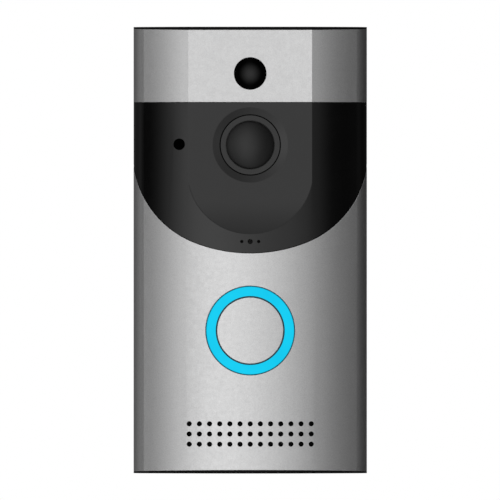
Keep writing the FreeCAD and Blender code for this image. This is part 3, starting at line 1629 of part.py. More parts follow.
def batteries():
    """Two cells between sprung contacts."""
    cells = node("battery_cells")
    contacts = node("battery_contacts")
    springs = node("battery_springs")
    for side, x in (("right", s.cell_x), ("left", -s.cell_x)):
        shoulder = s.cell_high - s.cell_nub_height
        groove = shoulder - s.cell_groove_drop
        waist = s.cell_radius - s.cell_groove_depth
        rim = s.cell_radius - s.cell_edge
        section = [
            (0, s.cell_low),
            (rim, s.cell_low),
            (s.cell_radius, s.cell_low + s.cell_edge),
            (s.cell_radius, groove - s.cell_groove_width),
            (waist, groove - s.cell_groove_width / 2),
            (s.cell_radius, groove),
            (s.cell_radius, shoulder - s.cell_edge),
            (rim, shoulder),
            (s.cell_nub, shoulder),
            (s.cell_nub, s.cell_high),
            (0, s.cell_high),
        ]
        upright(cells, f"{side}_cell", x, s.cell_depth, section)
        touch = s.cell_high + s.snug
        tab = outline(
            (s.cell_depth - s.contact_half, s.bay_high),
            (s.cell_depth - s.contact_half, s.bay_high - s.contact),
            (s.cell_depth - s.contact_nose, touch),
            (s.cell_depth + s.contact_nose, touch),
            (s.cell_depth + s.contact_half, s.bay_high - s.contact),
            (s.cell_depth + s.contact_half, s.bay_high),
        )
        extrude(
            contacts, f"{side}_contact", "Pad", "side", [tab], x, s.contact_width, both=True
        )
        front = s.cell_depth + s.spring_half
        back = s.cell_depth - s.spring_half
        fold = s.cell_depth + s.spring_fold
        nose = s.cell_low - s.snug
        leaf = outline(
            (back, s.bay_low),
            (front, s.bay_low),
            (front, s.bay_low + s.spring),
            (s.cell_depth - s.contact_nose, s.bay_low + s.spring),
            (fold, nose - s.spring),
            (front - s.spring_fold, nose - s.spring),
            (front - s.spring_fold, nose),
            (fold - s.spring, nose),
            (back + s.contact_nose, s.bay_low + s.spring + s.fit),
            (back, s.bay_low + s.spring),
        )
        extrude(
            springs, f"{side}_spring", "Pad", "side", [leaf], x, s.spring_width, both=True
        )


def battery_cover():
    """Cover of the battery bay with its grip, screws and seal."""
    side = s.cover_half_width
    area = rounded(-side, side, s.cover_low, s.cover_high, s.cover_corner)
    cover = plate("battery_cover", [area], s.cover_back, s.cover_front)
    bevelled(cover, "cover_edges", s.cover_edge, flat_at(s.cover_back))
    feet = [square(p, 2 * s.cover_foot) for p in COVER_SCREWS]
    add(cover, "cover_feet", feet, s.cover_front, s.recess_depth)
    bores = discs(COVER_SCREWS, s.cover_screw + s.lift_spare)
    cut(cover, "cover_screw_bores", bores, s.cover_back, s.recess_depth)
    seat = s.cover_back + s.cover_head_height + s.fit
    heads = discs(COVER_SCREWS, s.cover_head + s.head_fit)
    cut(cover, "cover_head_bores", heads, s.cover_back, seat)
    low = s.bay_low + s.grip_rise
    groove = rectangle(0, low, s.grip_width, s.grip_groove)
    first = cut(cover, "grip_groove_low", [groove], s.cover_back, s.cover_back + s.grip_depth)
    grooves = cover.newObject("PartDesign::LinearPattern", "grip_grooves")
    grooves.Originals = [first]
    grooves.Direction = (first.Profile[0], ["V_Axis"])
    grooves.setExpression("Length", bound(s.grip_pitch * (s.grip_count - 1)))
    grooves.setExpression("Occurrences", bound(s.grip_count))
    cover.Tip = grooves
    screws(
        "battery_cover_screws",
        COVER_SCREWS,
        s.cover_head,
        s.cover_screw,
        seat - s.cover_head_height,
        seat,
        s.cover_screw_tip,
    )
    rings = [
        between(
            -s.bay_half_width - grow,
            s.bay_half_width + grow,
            s.bay_low - grow,
            s.bay_high + grow,
        )
        for grow in (s.seal_outside, s.seal_inside)
    ]
    plate("battery_cover_seal", rings, s.cover_front, s.recess_depth)


def main_board():
    """Main board with its chips, radio module, plugs and aerial."""
    back, front = s.board_back, s.board_front
    side = s.board_half_width
    area = rounded(-side, side, s.board_low, s.board_high, s.board_corner)
    board = plate("main_board", [area], back, front)
    cut(board, "main_board_holes", discs(BOARD_SCREWS, s.small_screw + s.fit), back, front)
    head_front = front + s.board_head_height
    bolts = plate("board_screws", discs(BOARD_SCREWS, s.board_head), front, head_front)
    shanks = discs(BOARD_SCREWS, s.small_screw)
    add(bolts, "board_screw_shanks", shanks, back - s.board_screw_grip, front)
    slots = [rectangle(*p, 2 * s.board_head, s.slot_width) for p in BOARD_SCREWS]
    cut(bolts, "board_screw_slots", slots, head_front - s.slot_depth, head_front)
    processor = (s.processor_from_screw - s.board_screw_x, s.board_low + s.processor_rise)
    memory = (s.board_screw_x - s.memory_from_screw, s.board_low + s.memory_rise)
    flat = [square(processor, s.processor_width), square(memory, s.memory_width)]
    chips = plate("main_chips", flat, front, front + s.chip)
    power = rectangle(
        s.power_chip_from_screw - s.board_screw_x,
        s.board_low + s.power_chip_rise,
        s.power_chip_width,
        s.power_chip_height,
    )
    regulator_x = s.regulator_from_screw - s.board_screw_x
    regulator = square((regulator_x, s.board_low + s.regulator_rise), s.regulator_width)
    add(chips, "power_chips", [power, regulator], front, front + s.power_chip)
    wifi_x = s.board_screw_x - s.wifi_from_screw
    wifi_z = s.half_height - s.wifi_drop
    module = rectangle(wifi_x, wifi_z, s.wifi_width, s.wifi_height)
    module_front = front + s.wifi_board
    radio = plate("wifi_module", [module], front, module_front)
    shield = square((wifi_x, wifi_z + s.wifi_shield_over), s.wifi_shield_width)
    add(radio, "wifi_shield", [shield], module_front - s.fit, front + s.wifi_shield)
    plug_z = s.board_high - s.camera_plug_drop + s.board_drop
    plug = rectangle(0, plug_z, s.camera_plug_width, s.camera_plug_height)
    plugs = plate("board_connectors", [plug], front, s.camera_board_back)
    flex_low = s.board_low + s.flex_plug_rise
    flex_plug = between(
        s.flex_x - s.flex_width / 2 - s.flex_plug_side,
        s.flex_x + s.flex_width / 2 + s.flex_plug_side,
        flex_low,
        flex_low + s.camera_plug_height - s.play,
    )
    add(plugs, "flex_plug", [flex_plug], front, front + s.mic_case + s.head_fit)
    middle = s.half_height - s.end_wall - s.antenna_height / 2 - s.fit
    aerial = rectangle(0, middle, s.antenna_width, s.antenna_height)
    aerial_front = s.depth - s.antenna_behind
    plate("antenna", [aerial], aerial_front - s.antenna_depth, aerial_front)


def service_parts():
    """Charging socket, wire terminals and reset key, reached through the back."""
    front = s.board_back
    case = rectangle(*SOCKET, s.usb_width, s.usb_height)
    socket = plate("usb_socket", [case], s.usb_back, front)
    thin = 2 * s.usb_wall
    mouth = rectangle(*SOCKET, s.usb_width - thin, s.usb_height - thin)
    mouth_front = s.usb_back + s.usb_mouth_depth
    cut(socket, "usb_mouth", [mouth], s.usb_back, mouth_front)
    blade_width = s.usb_width - thin - 2 * s.usb_tongue_side
    blade = rectangle(*SOCKET, blade_width, s.usb_tongue)
    add(socket, "usb_tongue", [blade], s.usb_back + s.usb_tongue, mouth_front + s.fit)

    case = rectangle(*TERMINAL, s.terminal_width, s.terminal_height)
    block = plate("terminal_block", [case], s.terminal_back, front)
    screw_z = s.service_z + s.terminal_well_up
    seat = s.terminal_back + s.terminal_head_sink + s.terminal_head_height
    wells = [disc(x, screw_z, s.terminal_head + s.head_fit) for x in POLES]
    cut(block, "terminal_wells", wells, s.terminal_back, seat)
    mouth_z = s.service_z - s.wire_mouth_down
    mouths = [rectangle(x, mouth_z, s.wire_mouth_width, s.wire_mouth_height) for x in POLES]
    deep = s.terminal_back + s.wire_mouth_depth
    cut(block, "wire_mouths", mouths, s.terminal_back, deep)
    heads = [disc(x, screw_z, s.terminal_head) for x in POLES]
    head_back = s.terminal_back + s.terminal_head_sink
    bolts = plate("terminal_screws", heads, head_back, seat)
    slots = [rectangle(x, screw_z, 2 * s.terminal_head, s.slot_width) for x in POLES]
    cut(bolts, "terminal_slots", slots, head_back, head_back + 2 * s.slot_depth)

    key_back = front - s.reset_switch
    key = plate("reset_switch", [square(RESET, s.reset_switch_width)], key_back, front)
    well_floor = front - s.reset_switch / 2 + s.fit
    cut(key, "reset_well", [disc(*RESET, s.reset_stem + s.reset_well)], key_back, well_floor)
    button = disc(*RESET, s.reset_radius)
    button_front = s.back_wall + 2 * s.fit
    reset = plate("reset_button", [button], s.recess_depth + s.reset_sink, button_front)
    collar = disc(*RESET, s.reset_radius + s.reset_collar)
    collar_front = s.back_wall + s.fit + s.reset_collar
    add(reset, "reset_collar", [collar], s.back_wall + s.fit, collar_front)
    stem_front = well_floor - s.reset_travel
    add(reset, "reset_stem", [disc(*RESET, s.reset_stem)], collar_front - s.fit, stem_front)


def charging_flap():
    """Rubber flap over the charging socket, on a round axle between two lugs."""
    half = s.flap_width / 2
    left, right = s.usb_x - half, s.usb_x + half
    high = s.service_z + s.flap_above
    area = between(left, right, s.service_z - s.flap_below, high)
    flap = plate("usb_flap", [area], s.flap_back, s.recess_depth - s.fit)
    shrink = 2 * (s.usb_wall + s.flap_plug_side)
    plug = rectangle(*SOCKET, s.usb_width - shrink, s.usb_height - shrink)
    add(flap, "flap_plug", [plug], s.recess_depth - 2 * s.fit, s.usb_back - s.fit)
    for name, radius, length in (
        ("flap_barrel_bar", s.flap_barrel, s.flap_width),
        ("flap_axle_bar", s.flap_axle, s.flap_width + 2 * s.lug_width),
    ):
        bar = disc(s.flap_axle_depth, s.flap_axle_z, radius)
        extrude(flap, name, "Pad", "side", [bar], s.usb_x, length, both=True)
    neck = between(left, right, high - 2 * s.fit, s.flap_axle_z)
    add(flap, "flap_neck", [neck], s.flap_back, s.flap_axle_depth + s.play)


def wall_bracket():
    """Bracket on the wall: four hooks, a threaded tongue and four countersunk holes."""
    side, end = s.plate_half_width, s.plate_half_height
    area = rounded(-side, side, -end, end, s.plate_corner)
    bracket = plate("wall_bracket", [area], size(0), s.plate)
    bevelled(bracket, "plate_edges", s.plate_edge, flat_at(s.plate))
    side = s.opening_half_width
    opening = rounded(-side, side, s.opening_low, s.opening_high, s.opening_corner)
    cut(bracket, "bracket_opening", [opening], size(0), s.plate)
    half = s.hook_width / 2
    stems = [between(x - half, x + half, z, z + s.hook_stem) for x, z in HOOKS]
    add(bracket, "hook_stems", stems, size(0), s.hook_front)
    lips = [between(x - half, x + half, z, z + s.hook_reach) for x, z in HOOKS]
    add(bracket, "hook_lips", lips, s.hook_back, s.hook_front)
    leads = [z + s.hook_reach for z in (s.hook_upper, s.hook_lower)]
    bevelled(bracket, "hook_leads", s.hook_lead, hook_tips(leads))
    stop = between(-s.tongue_half, s.tongue_half, s.stop_low, s.opening_low)
    add(bracket, "lock_tongue", [stop], size(0), s.tongue_front)
    thread = disc(0, s.lock_depth, s.lock_bore)
    bored_up(bracket, "lock_thread", [thread], s.stop_low - s.root, s.opening_low + s.root)
    cut(bracket, "wall_holes", discs(WALL_HOLES, s.wall_hole), size(0), s.plate)
    cone = [
        (s.plate, s.countersink),
        (s.plate - s.countersink + s.wall_hole, s.wall_hole),
        (s.plate, 0),
    ]
    for k, place in enumerate(WALL_HOLES, start=1):
        turned(bracket, f"countersink_{k}", place, cone, "Groove")


def hook_tips(levels):
    """Chooses the edges across the tips of the hooks."""
    tips = [worth(level) for level in levels]
    near = 1e-4
    half = worth(s.hook_width) / 2

    def chosen(box):
        level = any(abs(box.ZMin - z) < near and abs(box.ZMax - z) < near for z in tips)
        return level and box.XLength > half

    return chosen


def security_screw():
    """Screw from below that stops the unit from lifting off its hooks."""
    low = s.lock_seat - s.lock_head_height
    tip = s.opening_low - s.lock_tip
    section = [
        (0, low),
        (s.lock_head - s.lock_head_edge, low),
        (s.lock_head, low + s.lock_head_edge),
        (s.lock_head, s.lock_seat),
        (s.lock_screw, s.lock_seat),
        (s.lock_screw, tip),
        (0, tip),
    ]
    screw = node("security_screw")
    upright(screw, "lock_screw_turned", size(0), s.lock_depth, section)
    socket = disc(0, s.lock_depth, s.lock_socket)
    bored_up(screw, "lock_screw_socket", [socket], low, low + s.lock_socket_depth)


over_height = s.half_height + s.skin
far_front = s.depth + s.skin
outer = form("outer_form", size(0), s.split_depth + s.fit, s.half_height)
blank = skins()
camera_window(blank)
front_cover(blank)
top_band(blank)
front_frame()
lens()
camera()
infrared_board()
movement_sensor()
bell_button()
button_board()
loudspeaker()
back_case()
batteries()
battery_cover()
main_board()
service_parts()
charging_flap()
wall_bracket()
security_screw()

doc.recompute()
for made in doc.Objects:
    if "Invalid" in made.State or "Error" in made.State:
        raise RuntimeError(f"{made.Name} did not build: {made.State}")
os.makedirs("parts", exist_ok=True)
for label, made in NODES.items():
    shape = made.Shape
    if shape.isNull() or not shape.isValid():
        raise RuntimeError(f"{label} has no sound shape")
    shape.exportStep(f"parts/{label}.step")
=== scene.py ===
import json
import math

import bpy
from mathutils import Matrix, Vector


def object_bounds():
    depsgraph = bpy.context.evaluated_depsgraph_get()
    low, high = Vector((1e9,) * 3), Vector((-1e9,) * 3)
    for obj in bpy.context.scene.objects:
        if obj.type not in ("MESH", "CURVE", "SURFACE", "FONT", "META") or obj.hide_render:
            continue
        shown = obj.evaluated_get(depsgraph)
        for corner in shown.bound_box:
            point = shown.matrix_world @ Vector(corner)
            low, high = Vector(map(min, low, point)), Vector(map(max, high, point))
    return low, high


# Video door phone, seen straight from the front. The model is in metres, its front looks
# towards -Y, X runs to the right and Z up. Sizes here are in millimetres times MM.

MM = 0.001
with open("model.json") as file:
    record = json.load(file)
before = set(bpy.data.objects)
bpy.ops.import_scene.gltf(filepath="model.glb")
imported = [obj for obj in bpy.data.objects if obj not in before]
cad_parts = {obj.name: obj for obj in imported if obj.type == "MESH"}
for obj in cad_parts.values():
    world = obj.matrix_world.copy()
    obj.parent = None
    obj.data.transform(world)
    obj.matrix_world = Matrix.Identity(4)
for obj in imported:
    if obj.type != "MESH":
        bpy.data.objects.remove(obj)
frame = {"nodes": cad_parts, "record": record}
cad_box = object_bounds()
nodes = frame["nodes"]
slot_of = {part["node"]: part["material_slot"] for part in frame["record"]["subparts"]}


# Shader nodes

# Detail of every noise, and the middle range in which nearly all of it lies.
NOISE_DETAIL = 3.0
NOISE_LOW = 0.3
NOISE_HIGH = 0.7

# Rays that find each soft edge.
EDGE_SAMPLES = 4


def feed(tree, socket, value):
    """Links another node's output to a socket, or sets a value on it. On a colour socket one
    number is a grey."""
    if isinstance(value, bpy.types.NodeSocket):
        tree.links.new(value, socket)
    elif socket.type == "RGBA":
        red, green, blue = value if isinstance(value, tuple) else (value,) * 3
        socket.default_value = (red, green, blue, 1.0)
    else:
        socket.default_value = value


def fill(tree, made, inputs):
    """Feeds inputs of a node, by name or by number."""
    for name, value in inputs.items():
        feed(tree, made.inputs[name], value)


def add(tree, kind, inputs=None):
    """A new node of a kind, with inputs where they need no setting of the node first."""
    made = tree.nodes.new("ShaderNode" + kind)
    fill(tree, made, inputs or {})
    return made


def maths(tree, kind, *values):
    made = add(tree, "Math")
    made.operation = kind
    fill(tree, made, dict(enumerate(values)))
    return made.outputs["Value"]


def own_place(tree):
    """Where a point of the surface is in the object's own space."""
    return add(tree, "TexCoord").outputs["Object"]


def scaled(tree, scale):
    inputs = {"Vector": own_place(tree), "Scale": (scale,) * 3}
    return add(tree, "Mapping", inputs).outputs["Vector"]


def noise(tree, scale):
    """Soft noise with that many cycles a metre."""
    inputs = {"Vector": scaled(tree, scale), "Scale": 1.0, "Detail": NOISE_DETAIL}
    return add(tree, "TexNoise", inputs).outputs["Fac"]


def ranged(tree, value, low=0.0, high=1.0):
    """A noise with its middle range spread from low to high."""
    inputs = {
        "Value": value,
        "From Min": NOISE_LOW,
        "From Max": NOISE_HIGH,
        "To Min": low,
        "To Max": high,
    }
    return add(tree, "MapRange", inputs).outputs["Result"]


def blend(tree, share, first, second):
    """A colour between two by a share from 0 to 1."""
    made = add(tree, "Mix")
    made.data_type = "RGBA"
    fill(tree, made, {"Factor": share, "A": first, "B": second})
    return made.outputs["Result"]


def bumped(tree, value, height, strength, under=None):
    inputs = {"Height": value, "Distance": height, "Strength": strength}
    if under:
        inputs["Normal"] = under
    return add(tree, "Bump", inputs).outputs["Normal"]


def softened(tree, width):
    """Normals that turn over sharp edges, as moulded and turned edges do."""
    made = add(tree, "Bevel", {"Radius": width})
    made.samples = EDGE_SAMPLES
    return made.outputs["Normal"]


def along_depth(tree, start, end):
    """A value that runs from 0 to 1 between two places along Y."""
    parts = add(tree, "SeparateXYZ", {"Vector": own_place(tree)})
    inputs = {"Value": parts.outputs["Y"], "From Min": start, "From Max": end}
    return add(tree, "MapRange", inputs).outputs["Result"]


def round_about(tree, centre, start, end):
    """A value that runs smoothly from 0 to 1 between two distances from an axis along Y."""
    across, up = centre
    inputs = {
        "Vector": own_place(tree),
        "Location": (-across, 0.0, -up),
        "Scale": (1.0, 0.0, 1.0),
    }
    flat = add(tree, "Mapping", inputs).outputs["Vector"]
    length = add(tree, "VectorMath")
    length.operation = "LENGTH"
    fill(tree, length, {0: flat})
    made = add(tree, "MapRange")
    made.interpolation_type = "SMOOTHSTEP"
    fill(tree, made, {"Value": length.outputs["Value"], "From Min": start, "From Max": end})
    return made.outputs["Result"]


# Materials, each as the inputs of its surface shader

BROAD_SCALE = 120.0
GRAIN_RELIEF = 0.02 * MM

FLAKE_SCALE = 7000.0
FLAKE_RELIEF = 0.004 * MM
FLAKE_DARK = (0.69, 0.69, 0.692)
FLAKE_LIGHT = (0.85, 0.85, 0.852)
PAINT_EDGE = 0.12 * MM
OVERSPRAY = 0.4 * MM
COVER_PAINT_BACK = 12.0 * MM
CAP_PAINT_BACK = 25.2 * MM

GLOSS_EDGE = 0.15 * MM
PEEL_RELIEF = 0.002 * MM

THREAD_SCALE = 900.0
THREAD_RELIEF = 0.06 * MM

# The ring darkens between two distances from its rim: painted shade along its joint with the
# seat.
RING_SHADE_START = 0.45 * MM
RING_SHADE_END = 0.05 * MM
RING_DIM = (0.001, 0.565, 0.84)
RING_BRIGHT = (0.003, 0.615, 0.89)
# Colour of the painted shade at the ring's rim.
RING_PAINTED_SHADE = (0.0, 0.02, 0.03)
RING_UNLIT = (0.004, 0.03, 0.04)

# Painted highlights on the domes: the lens dome's pale spot from the dome's middle, and the
# sensor dome's as a share of its half width.
LENS_HIGHLIGHT_LEFT = 3.0 * MM
LENS_HIGHLIGHT_UP = 1.4 * MM
LENS_HIGHLIGHT_REACH = 8.2 * MM
SENSOR_HIGHLIGHT_REACH = 0.62


def middle_of(name):
    """Middle of a node's box across the front, as X and Z."""
    corners = [Vector(corner) for corner in nodes[name].bound_box]
    return [sum(corner[k] for corner in corners) / len(corners) for k in (0, 2)]


def half_width_of(name):
    return max(corner[0] for corner in nodes[name].bound_box) - middle_of(name)[0]


def grained(
    tree, dark, light, rough, grain, bump=0.0, metal=0.0, gloss=0.5, edge=0.0, share=None
):
    """A tone between dark and light, with a fine grain in its gloss and relief. The tone
    changes broadly, or by a share that is given."""
    fine = noise(tree, grain)
    if share is None:
        share = ranged(tree, noise(tree, BROAD_SCALE))
    soft = softened(tree, edge) if edge else None
    return {
        "Base Color": blend(tree, share, dark, light),
        "Roughness": ranged(tree, fine, *rough),
        "Normal": bumped(tree, fine, GRAIN_RELIEF, bump, soft),
        "Specular IOR Level": gloss,
        "Metallic": metal,
    }


def painted(tree, paint_back, bare):
    """Satin metallic paint: flakes that differ in tone and tilt under a thin lacquer. What
    lies further back than paint_back is bare plastic."""
    flakes = add(tree, "TexVoronoi", {"Vector": scaled(tree, FLAKE_SCALE), "Scale": 1.0})
    paint = blend(tree, flakes.outputs["Color"], FLAKE_DARK, FLAKE_LIGHT)
    sprayed = along_depth(tree, -paint_back, -paint_back - OVERSPRAY)
    lacquer = noise(tree, scale=900.0)
    tilt = flakes.outputs["Distance"]
    soft = softened(tree, PAINT_EDGE)
    return {
        "Base Color": blend(tree, sprayed, bare, paint),
        "Roughness": ranged(tree, lacquer, low=0.37, high=0.43),
        "Normal": bumped(tree, tilt, FLAKE_RELIEF, strength=0.25, under=soft),
        "Metallic": 0.98,
    }


def silver_paint(tree):
    return painted(tree, COVER_PAINT_BACK, bare=0.004)


def cap_paint(tree):
    """The cap's face alone is painted."""
    return painted(tree, CAP_PAINT_BACK, bare=0.1)


def black_gloss(tree):
    """Piano black moulding with a faint orange peel."""
    patches = ranged(tree, noise(tree, scale=60.0))
    sheen = noise(tree, scale=400.0)
    peel = noise(tree, scale=500.0)
    soft = softened(tree, GLOSS_EDGE)
    return {
        "Base Color": blend(tree, patches, first=0.001, second=0.002),
        "Roughness": ranged(tree, sheen, low=0.09, high=0.13),
        "Normal": bumped(tree, peel, PEEL_RELIEF, strength=0.2, under=soft),
    }


def light_guide(tree):
    """Milky ring lit from behind, a little uneven, with painted shade darkening its outer rim
    along the joint with its seat."""
    rim = half_width_of("light_ring")
    start = rim - RING_SHADE_START
    end = rim - RING_SHADE_END
    shade = round_about(tree, middle_of("light_ring"), start, end)
    patches = ranged(tree, noise(tree, scale=160.0))
    glow = blend(tree, patches, RING_DIM, RING_BRIGHT)
    return {
        "Base Color": RING_UNLIT,
        "Roughness": 0.5,
        "Specular IOR Level": 0.1,
        # Painted shade: the glow darkens towards the rim.
        "Emission Color": blend(tree, shade, glow, RING_PAINTED_SHADE),
        "Emission Strength": 1.0,
    }


def lens_clear(tree):
    """Smoked dome with a painted highlight: it pales towards a spot at its upper left."""
    across, up = middle_of("lens_cover")
    # Painted highlight: the base colour pales towards a spot up and left of the dome's
    # middle.
    spot = (across - LENS_HIGHLIGHT_LEFT, up + LENS_HIGHLIGHT_UP)
    painted_highlight = round_about(tree, spot, LENS_HIGHLIGHT_REACH, 0.0)
    return grained(tree, dark=0.0095, light=0.03, rough=(0.5, 0.54), grain=600.0, share=painted_highlight)


def sensor_lens(tree):
    """Black infrared lens with a painted highlight: it pales towards its middle."""
    # Painted highlight: the base colour pales towards the lens's middle.
    reach = SENSOR_HIGHLIGHT_REACH * half_width_of("pir_lens")
    painted_highlight = round_about(tree, middle_of("pir_lens"), reach, 0.0)
    return grained(
        tree, dark=0.0008, light=0.048, rough=(0.3, 0.34), grain=900.0, gloss=0.03, share=painted_highlight
    )


def mesh_cloth(tree):
    """Plain weave of fine dark threads."""
    threads = []
    for axis in ("X", "Z"):
        wave = add(tree, "TexWave", {"Vector": scaled(tree, THREAD_SCALE), "Scale": 1.0})
        wave.bands_direction = axis
        threads.append(wave.outputs["Fac"])
    woven = maths(tree, "MULTIPLY", *threads)
    return {
        "Base Color": blend(tree, woven, first=0.001, second=0.006),
        "Roughness": 0.8,
        "Normal": bumped(tree, woven, THREAD_RELIEF, strength=0.8),
        "Specular IOR Level": 0.2,
    }


def floor_white(tree):
    """As bright as the room behind it, so that no horizon shows and outlines stay even."""
    patches = ranged(tree, noise(tree, scale=40.0))
    return {
        "Base Color": blend(tree, patches, first=0.02, second=0.03),
        "Roughness": 0.9,
        "Emission Color": 1.0,
        "Emission Strength": 1.0,
    }


LOOKS = {
    "silver_paint": silver_paint,
    "cap_paint": cap_paint,
    "black_gloss": black_gloss,
    "light_guide": light_guide,
    "lens_clear": lens_clear,
    "sensor_lens": sensor_lens,
    "mesh_cloth": mesh_cloth,
    "floor_white": floor_white,
}

# Grained materials that differ in numbers alone. Tones are linear and one number is a grey,
# rough is the range of roughness, and grain is in cycles a metre.
FINISHES = {
    "black_matt": dict(
        dark=0.0105, light=0.012, rough=(0.42, 0.55),
        grain=2200.0, bump=0.5, gloss=0.4, edge=0.15 * MM,
    ),
    "frame_matt": dict(
        dark=0.002, light=0.004, rough=(0.5, 0.6),
        grain=2200.0, bump=0.5, gloss=0.1, edge=0.1 * MM,
    ),
    "bracket_plastic": dict(
        dark=0.0235, light=0.026, rough=(0.45, 0.6),
        grain=1800.0, bump=0.6, edge=0.15 * MM,
    ),
    "rubber_black": dict(
        dark=0.012, light=0.018, rough=(0.7, 0.85),
        grain=1500.0, bump=0.5,
    ),
    "foam_dark": dict(
        dark=0.02, light=0.04, rough=(0.85, 0.95),
        grain=2600.0, bump=1.0,
    ),
    "microphone_felt": dict(
        dark=0.2, light=0.26, rough=(0.85, 0.95),
        grain=6000.0, bump=1.0, gloss=0.2,
    ),
    "cone_film": dict(
        dark=0.03, light=0.045, rough=(0.3, 0.4),
        grain=600.0, bump=0.1,
    ),
    "chip_black": dict(
        dark=0.015, light=0.022, rough=(0.5, 0.6),
        grain=3000.0, bump=0.4,
    ),
    "lens_black": dict(
        dark=0.006, light=0.008, rough=(0.2, 0.26),
        grain=900.0, bump=0.05,
    ),
    "lens_coated": dict(
        dark=(0.01, 0.012, 0.03), light=(0.02, 0.014, 0.04), rough=(0.05, 0.07),
        grain=600.0,
    ),
    "sensor_tint": dict(
        dark=0.0005, light=0.001, rough=(0.3, 0.34),
        grain=900.0, gloss=0.0,
    ),
    "pipe_tint": dict(
        dark=0.0005, light=0.001, rough=(0.3, 0.34),
        grain=900.0, gloss=0.03,
    ),
    "led_clear": dict(
        dark=(0.4, 0.38, 0.42), light=(0.5, 0.48, 0.52), rough=(0.05, 0.1),
        grain=600.0,
    ),
    "board_green": dict(
        dark=(0.008, 0.09, 0.03), light=(0.012, 0.13, 0.045), rough=(0.3, 0.4),
        grain=500.0, bump=0.1,
    ),
    "board_black": dict(
        dark=(0.01, 0.01, 0.012), light=(0.016, 0.016, 0.02), rough=(0.3, 0.4),
        grain=500.0, bump=0.1,
    ),
    "flex_amber": dict(
        dark=(0.35, 0.15, 0.03), light=(0.45, 0.2, 0.04), rough=(0.25, 0.35),
        grain=600.0, bump=0.1,
    ),
    "cell_wrap": dict(
        dark=(0.012, 0.055, 0.16), light=(0.014, 0.062, 0.18), rough=(0.22, 0.3),
        grain=300.0, bump=0.15,
    ),
    "terminal_green": dict(
        dark=(0.005, 0.07, 0.022), light=(0.008, 0.09, 0.03), rough=(0.35, 0.45),
        grain=1500.0, bump=0.2,
    ),
    "plated_steel": dict(
        dark=0.5, light=0.6, rough=(0.2, 0.32),
        grain=900.0, bump=0.2, metal=1.0,
    ),
    "spring_steel": dict(
        dark=0.55, light=0.68, rough=(0.18, 0.26),
        grain=900.0, bump=0.1, metal=1.0,
    ),
    "screw_steel": dict(
        dark=(0.36, 0.36, 0.38), light=(0.48, 0.48, 0.5), rough=(0.25, 0.38),
        grain=1200.0, bump=0.3, metal=1.0,
    ),
    "contact_gold": dict(
        dark=(0.72, 0.5, 0.2), light=(0.85, 0.62, 0.28), rough=(0.2, 0.3),
        grain=900.0, bump=0.1, metal=1.0,
    ),
}

# Nodes with a material of their own in place of their slot's. The microphone shows the felt
# behind its hole.
OWN_MATERIAL = {
    "button_cap": "cap_paint",
    "front_frame": "frame_matt",
    "light_sensor_window": "sensor_tint",
    "microphone": "microphone_felt",
    "pir_lens": "sensor_lens",
    "status_light_pipes": "pipe_tint",
}


def material(name):
    made = bpy.data.materials.new(name)
    made.use_nodes = True
    tree = made.node_tree
    shader = tree.nodes["Principled BSDF"]
    inputs = LOOKS[name](tree) if name in LOOKS else grained(tree, **FINISHES[name])
    fill(tree, shader, inputs)
    return made


def dress():
    """Gives every CAD node the material of its slot, or its own where it has one."""
    wanted = {name: OWN_MATERIAL.get(name, slot_of[name]) for name in nodes}
    made = {name: material(name) for name in sorted(set(wanted.values()))}
    for name, piece in nodes.items():
        piece.data.materials.clear()
        piece.data.materials.append(made[wanted[name]])


# Studio

# Light of the room by direction, as degrees and share of full light: round from the front,
# where plus is to the right, and up from level. It shades the bowed front as in the photo.
ROUND_THE_ROOM = (
    (-180, 0.10),
    (-150, 0.07),
    (-125, 0.07),
    (-105, 0.09),
    (-90, 0.12),
    (-75, 0.18),
    (-60, 0.12),
    (-50, 0.03),
    (-44, 0.02),
    (-40, 0.12),
    (-36, 0.31),
    (-32, 0.54),
    (-28, 0.75),
    (-23, 0.94),
    (-18, 1.0),
    (-12, 0.97),
    (-6, 0.88),
    (0, 0.773),
    (6, 0.67),
    (12, 0.605),
    (18, 0.545),
    (24, 0.41),
    (27, 0.30),
    (30, 0.18),
    (35, 0.04),
    (42, 0.02),
    (50, 0.05),
    (65, 0.06),
    (90, 0.025),
    (140, 0.02),
    (160, 0.05),
    (180, 0.10),
)
UP_THE_ROOM = (
    (-90, 0.3),
    (-60, 0.5),
    (-40, 0.8),
    (-30, 0.85),
    (-22, 0.7),
    (-16, 0.68),
    (-9, 0.85),
    (-4, 1.0),
    (2, 1.0),
    (6, 0.92),
    (10, 0.81),
    (19, 0.60),
    (22, 0.64),
    (28, 0.82),
    (35, 0.85),
    (50, 0.5),
    (70, 0.4),
    (90, 0.5),
)
FULL_LIGHT = 1.42

# Lamps behind and above, out of sight of the front: place and width in metres, and watts.
LAMPS = {
    "lamp_back_left": ((-0.14, 0.36, 0.44), 0.22, 8.0),
    "lamp_back_right": ((0.20, 0.30, 0.40), 0.18, 3.0),
    "lamp_above": ((0.0, 0.10, 0.55), 0.35, 3.5),
}

FLOOR_DROP = 20 * MM
FLOOR_RADIUS = 300 * MM
FLOOR_SIDES = 96

# Width of the picture at a depth in front of the wall, and the middle of the picture as X
# and Z. A long lens leaves almost no perspective, as in the photo. Blender takes its length
# and the width of the camera's sensor in plain millimetres.
FRAME_WIDTH = 145.68 * MM
FRAME_DEPTH = 20 * MM
FRAME_MIDDLE = (-0.07 * MM, 0.03 * MM)
FOCAL_LENGTH = 1200.0
CAMERA_SENSOR = 36.0


def shade_by(tree, angle, half_turn, stops):
    """Light by an angle in radians. The stops run from minus to plus half_turn degrees."""
    reach = math.radians(half_turn)
    share = add(tree, "MapRange", {"Value": angle, "From Min": -reach, "From Max": reach})
    ramp = add(tree, "ValToRGB", {"Fac": share.outputs["Result"]})
    marks = ramp.color_ramp.elements
    for degrees, _ in stops[1:-1]:
        marks.new((degrees + half_turn) / (2 * half_turn))
    for mark, (_, light) in zip(marks, stops):
        mark.color = (light, light, light, 1.0)
    return ramp.outputs["Color"]


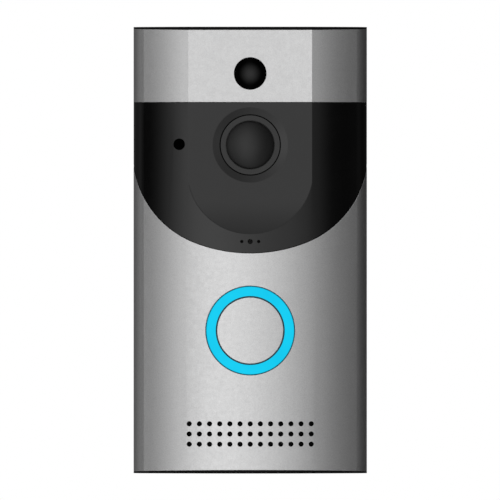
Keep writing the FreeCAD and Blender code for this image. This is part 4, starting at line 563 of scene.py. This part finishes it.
def room_light():
    world = bpy.data.worlds.new("studio")
    bpy.context.scene.world = world
    world.use_nodes = True
    tree = world.node_tree
    towards = add(tree, "TexCoord").outputs["Generated"]
    x, y, z = add(tree, "SeparateXYZ", {"Vector": towards}).outputs
    turn = maths(tree, "ARCTAN2", x, maths(tree, "MULTIPLY", y, -1.0))
    rise = maths(tree, "ARCSINE", z)
    level = maths(
        tree,
        "MULTIPLY",
        shade_by(tree, turn, 180, ROUND_THE_ROOM),
        shade_by(tree, rise, 90, UP_THE_ROOM),
    )
    lit = tree.nodes["Background"]
    fill(tree, lit, {"Color": level, "Strength": FULL_LIGHT})
    plain = add(tree, "Background", {"Color": 1.0})
    seen = add(tree, "LightPath").outputs["Is Camera Ray"]
    inputs = {"Fac": seen, 1: lit.outputs["Background"], 2: plain.outputs["Background"]}
    mixed = add(tree, "MixShader", inputs)
    fill(tree, tree.nodes["World Output"], {"Surface": mixed.outputs["Shader"]})
    bpy.context.scene.view_settings.view_transform = "Standard"


def lamps():
    for name, (spot, width, watts) in LAMPS.items():
        data = bpy.data.lights.new(name, "AREA")
        data.size = width
        data.energy = watts
        lamp = bpy.data.objects.new(name, data)
        bpy.context.scene.collection.objects.link(lamp)
        lamp.location = spot
        lamp.rotation_euler = Vector(spot).to_track_quat("Z", "Y").to_euler()
        lamp.visible_glossy = False


def floor():
    """Pale floor below the hanging object, clear of the security screw that comes out."""
    low = cad_box[0].z - FLOOR_DROP
    bpy.ops.mesh.primitive_circle_add(
        vertices=FLOOR_SIDES, radius=FLOOR_RADIUS, fill_type="NGON", location=(0, 0, low)
    )
    made = bpy.context.object
    made.name = "floor"
    made.data.materials.append(material("floor_white"))
    made.visible_glossy = False


def camera():
    data = bpy.data.cameras.new("front")
    data.lens = FOCAL_LENGTH
    data.sensor_width = CAMERA_SENSOR
    made = bpy.data.objects.new("front", data)
    bpy.context.scene.collection.objects.link(made)
    across, up = FRAME_MIDDLE
    away = FRAME_WIDTH * FOCAL_LENGTH / CAMERA_SENSOR
    made.location = (across, -FRAME_DEPTH - away, up)
    made.rotation_euler = (math.pi / 2, 0, 0)
    bpy.context.scene.camera = made


dress()
room_light()
lamps()
floor()
camera()
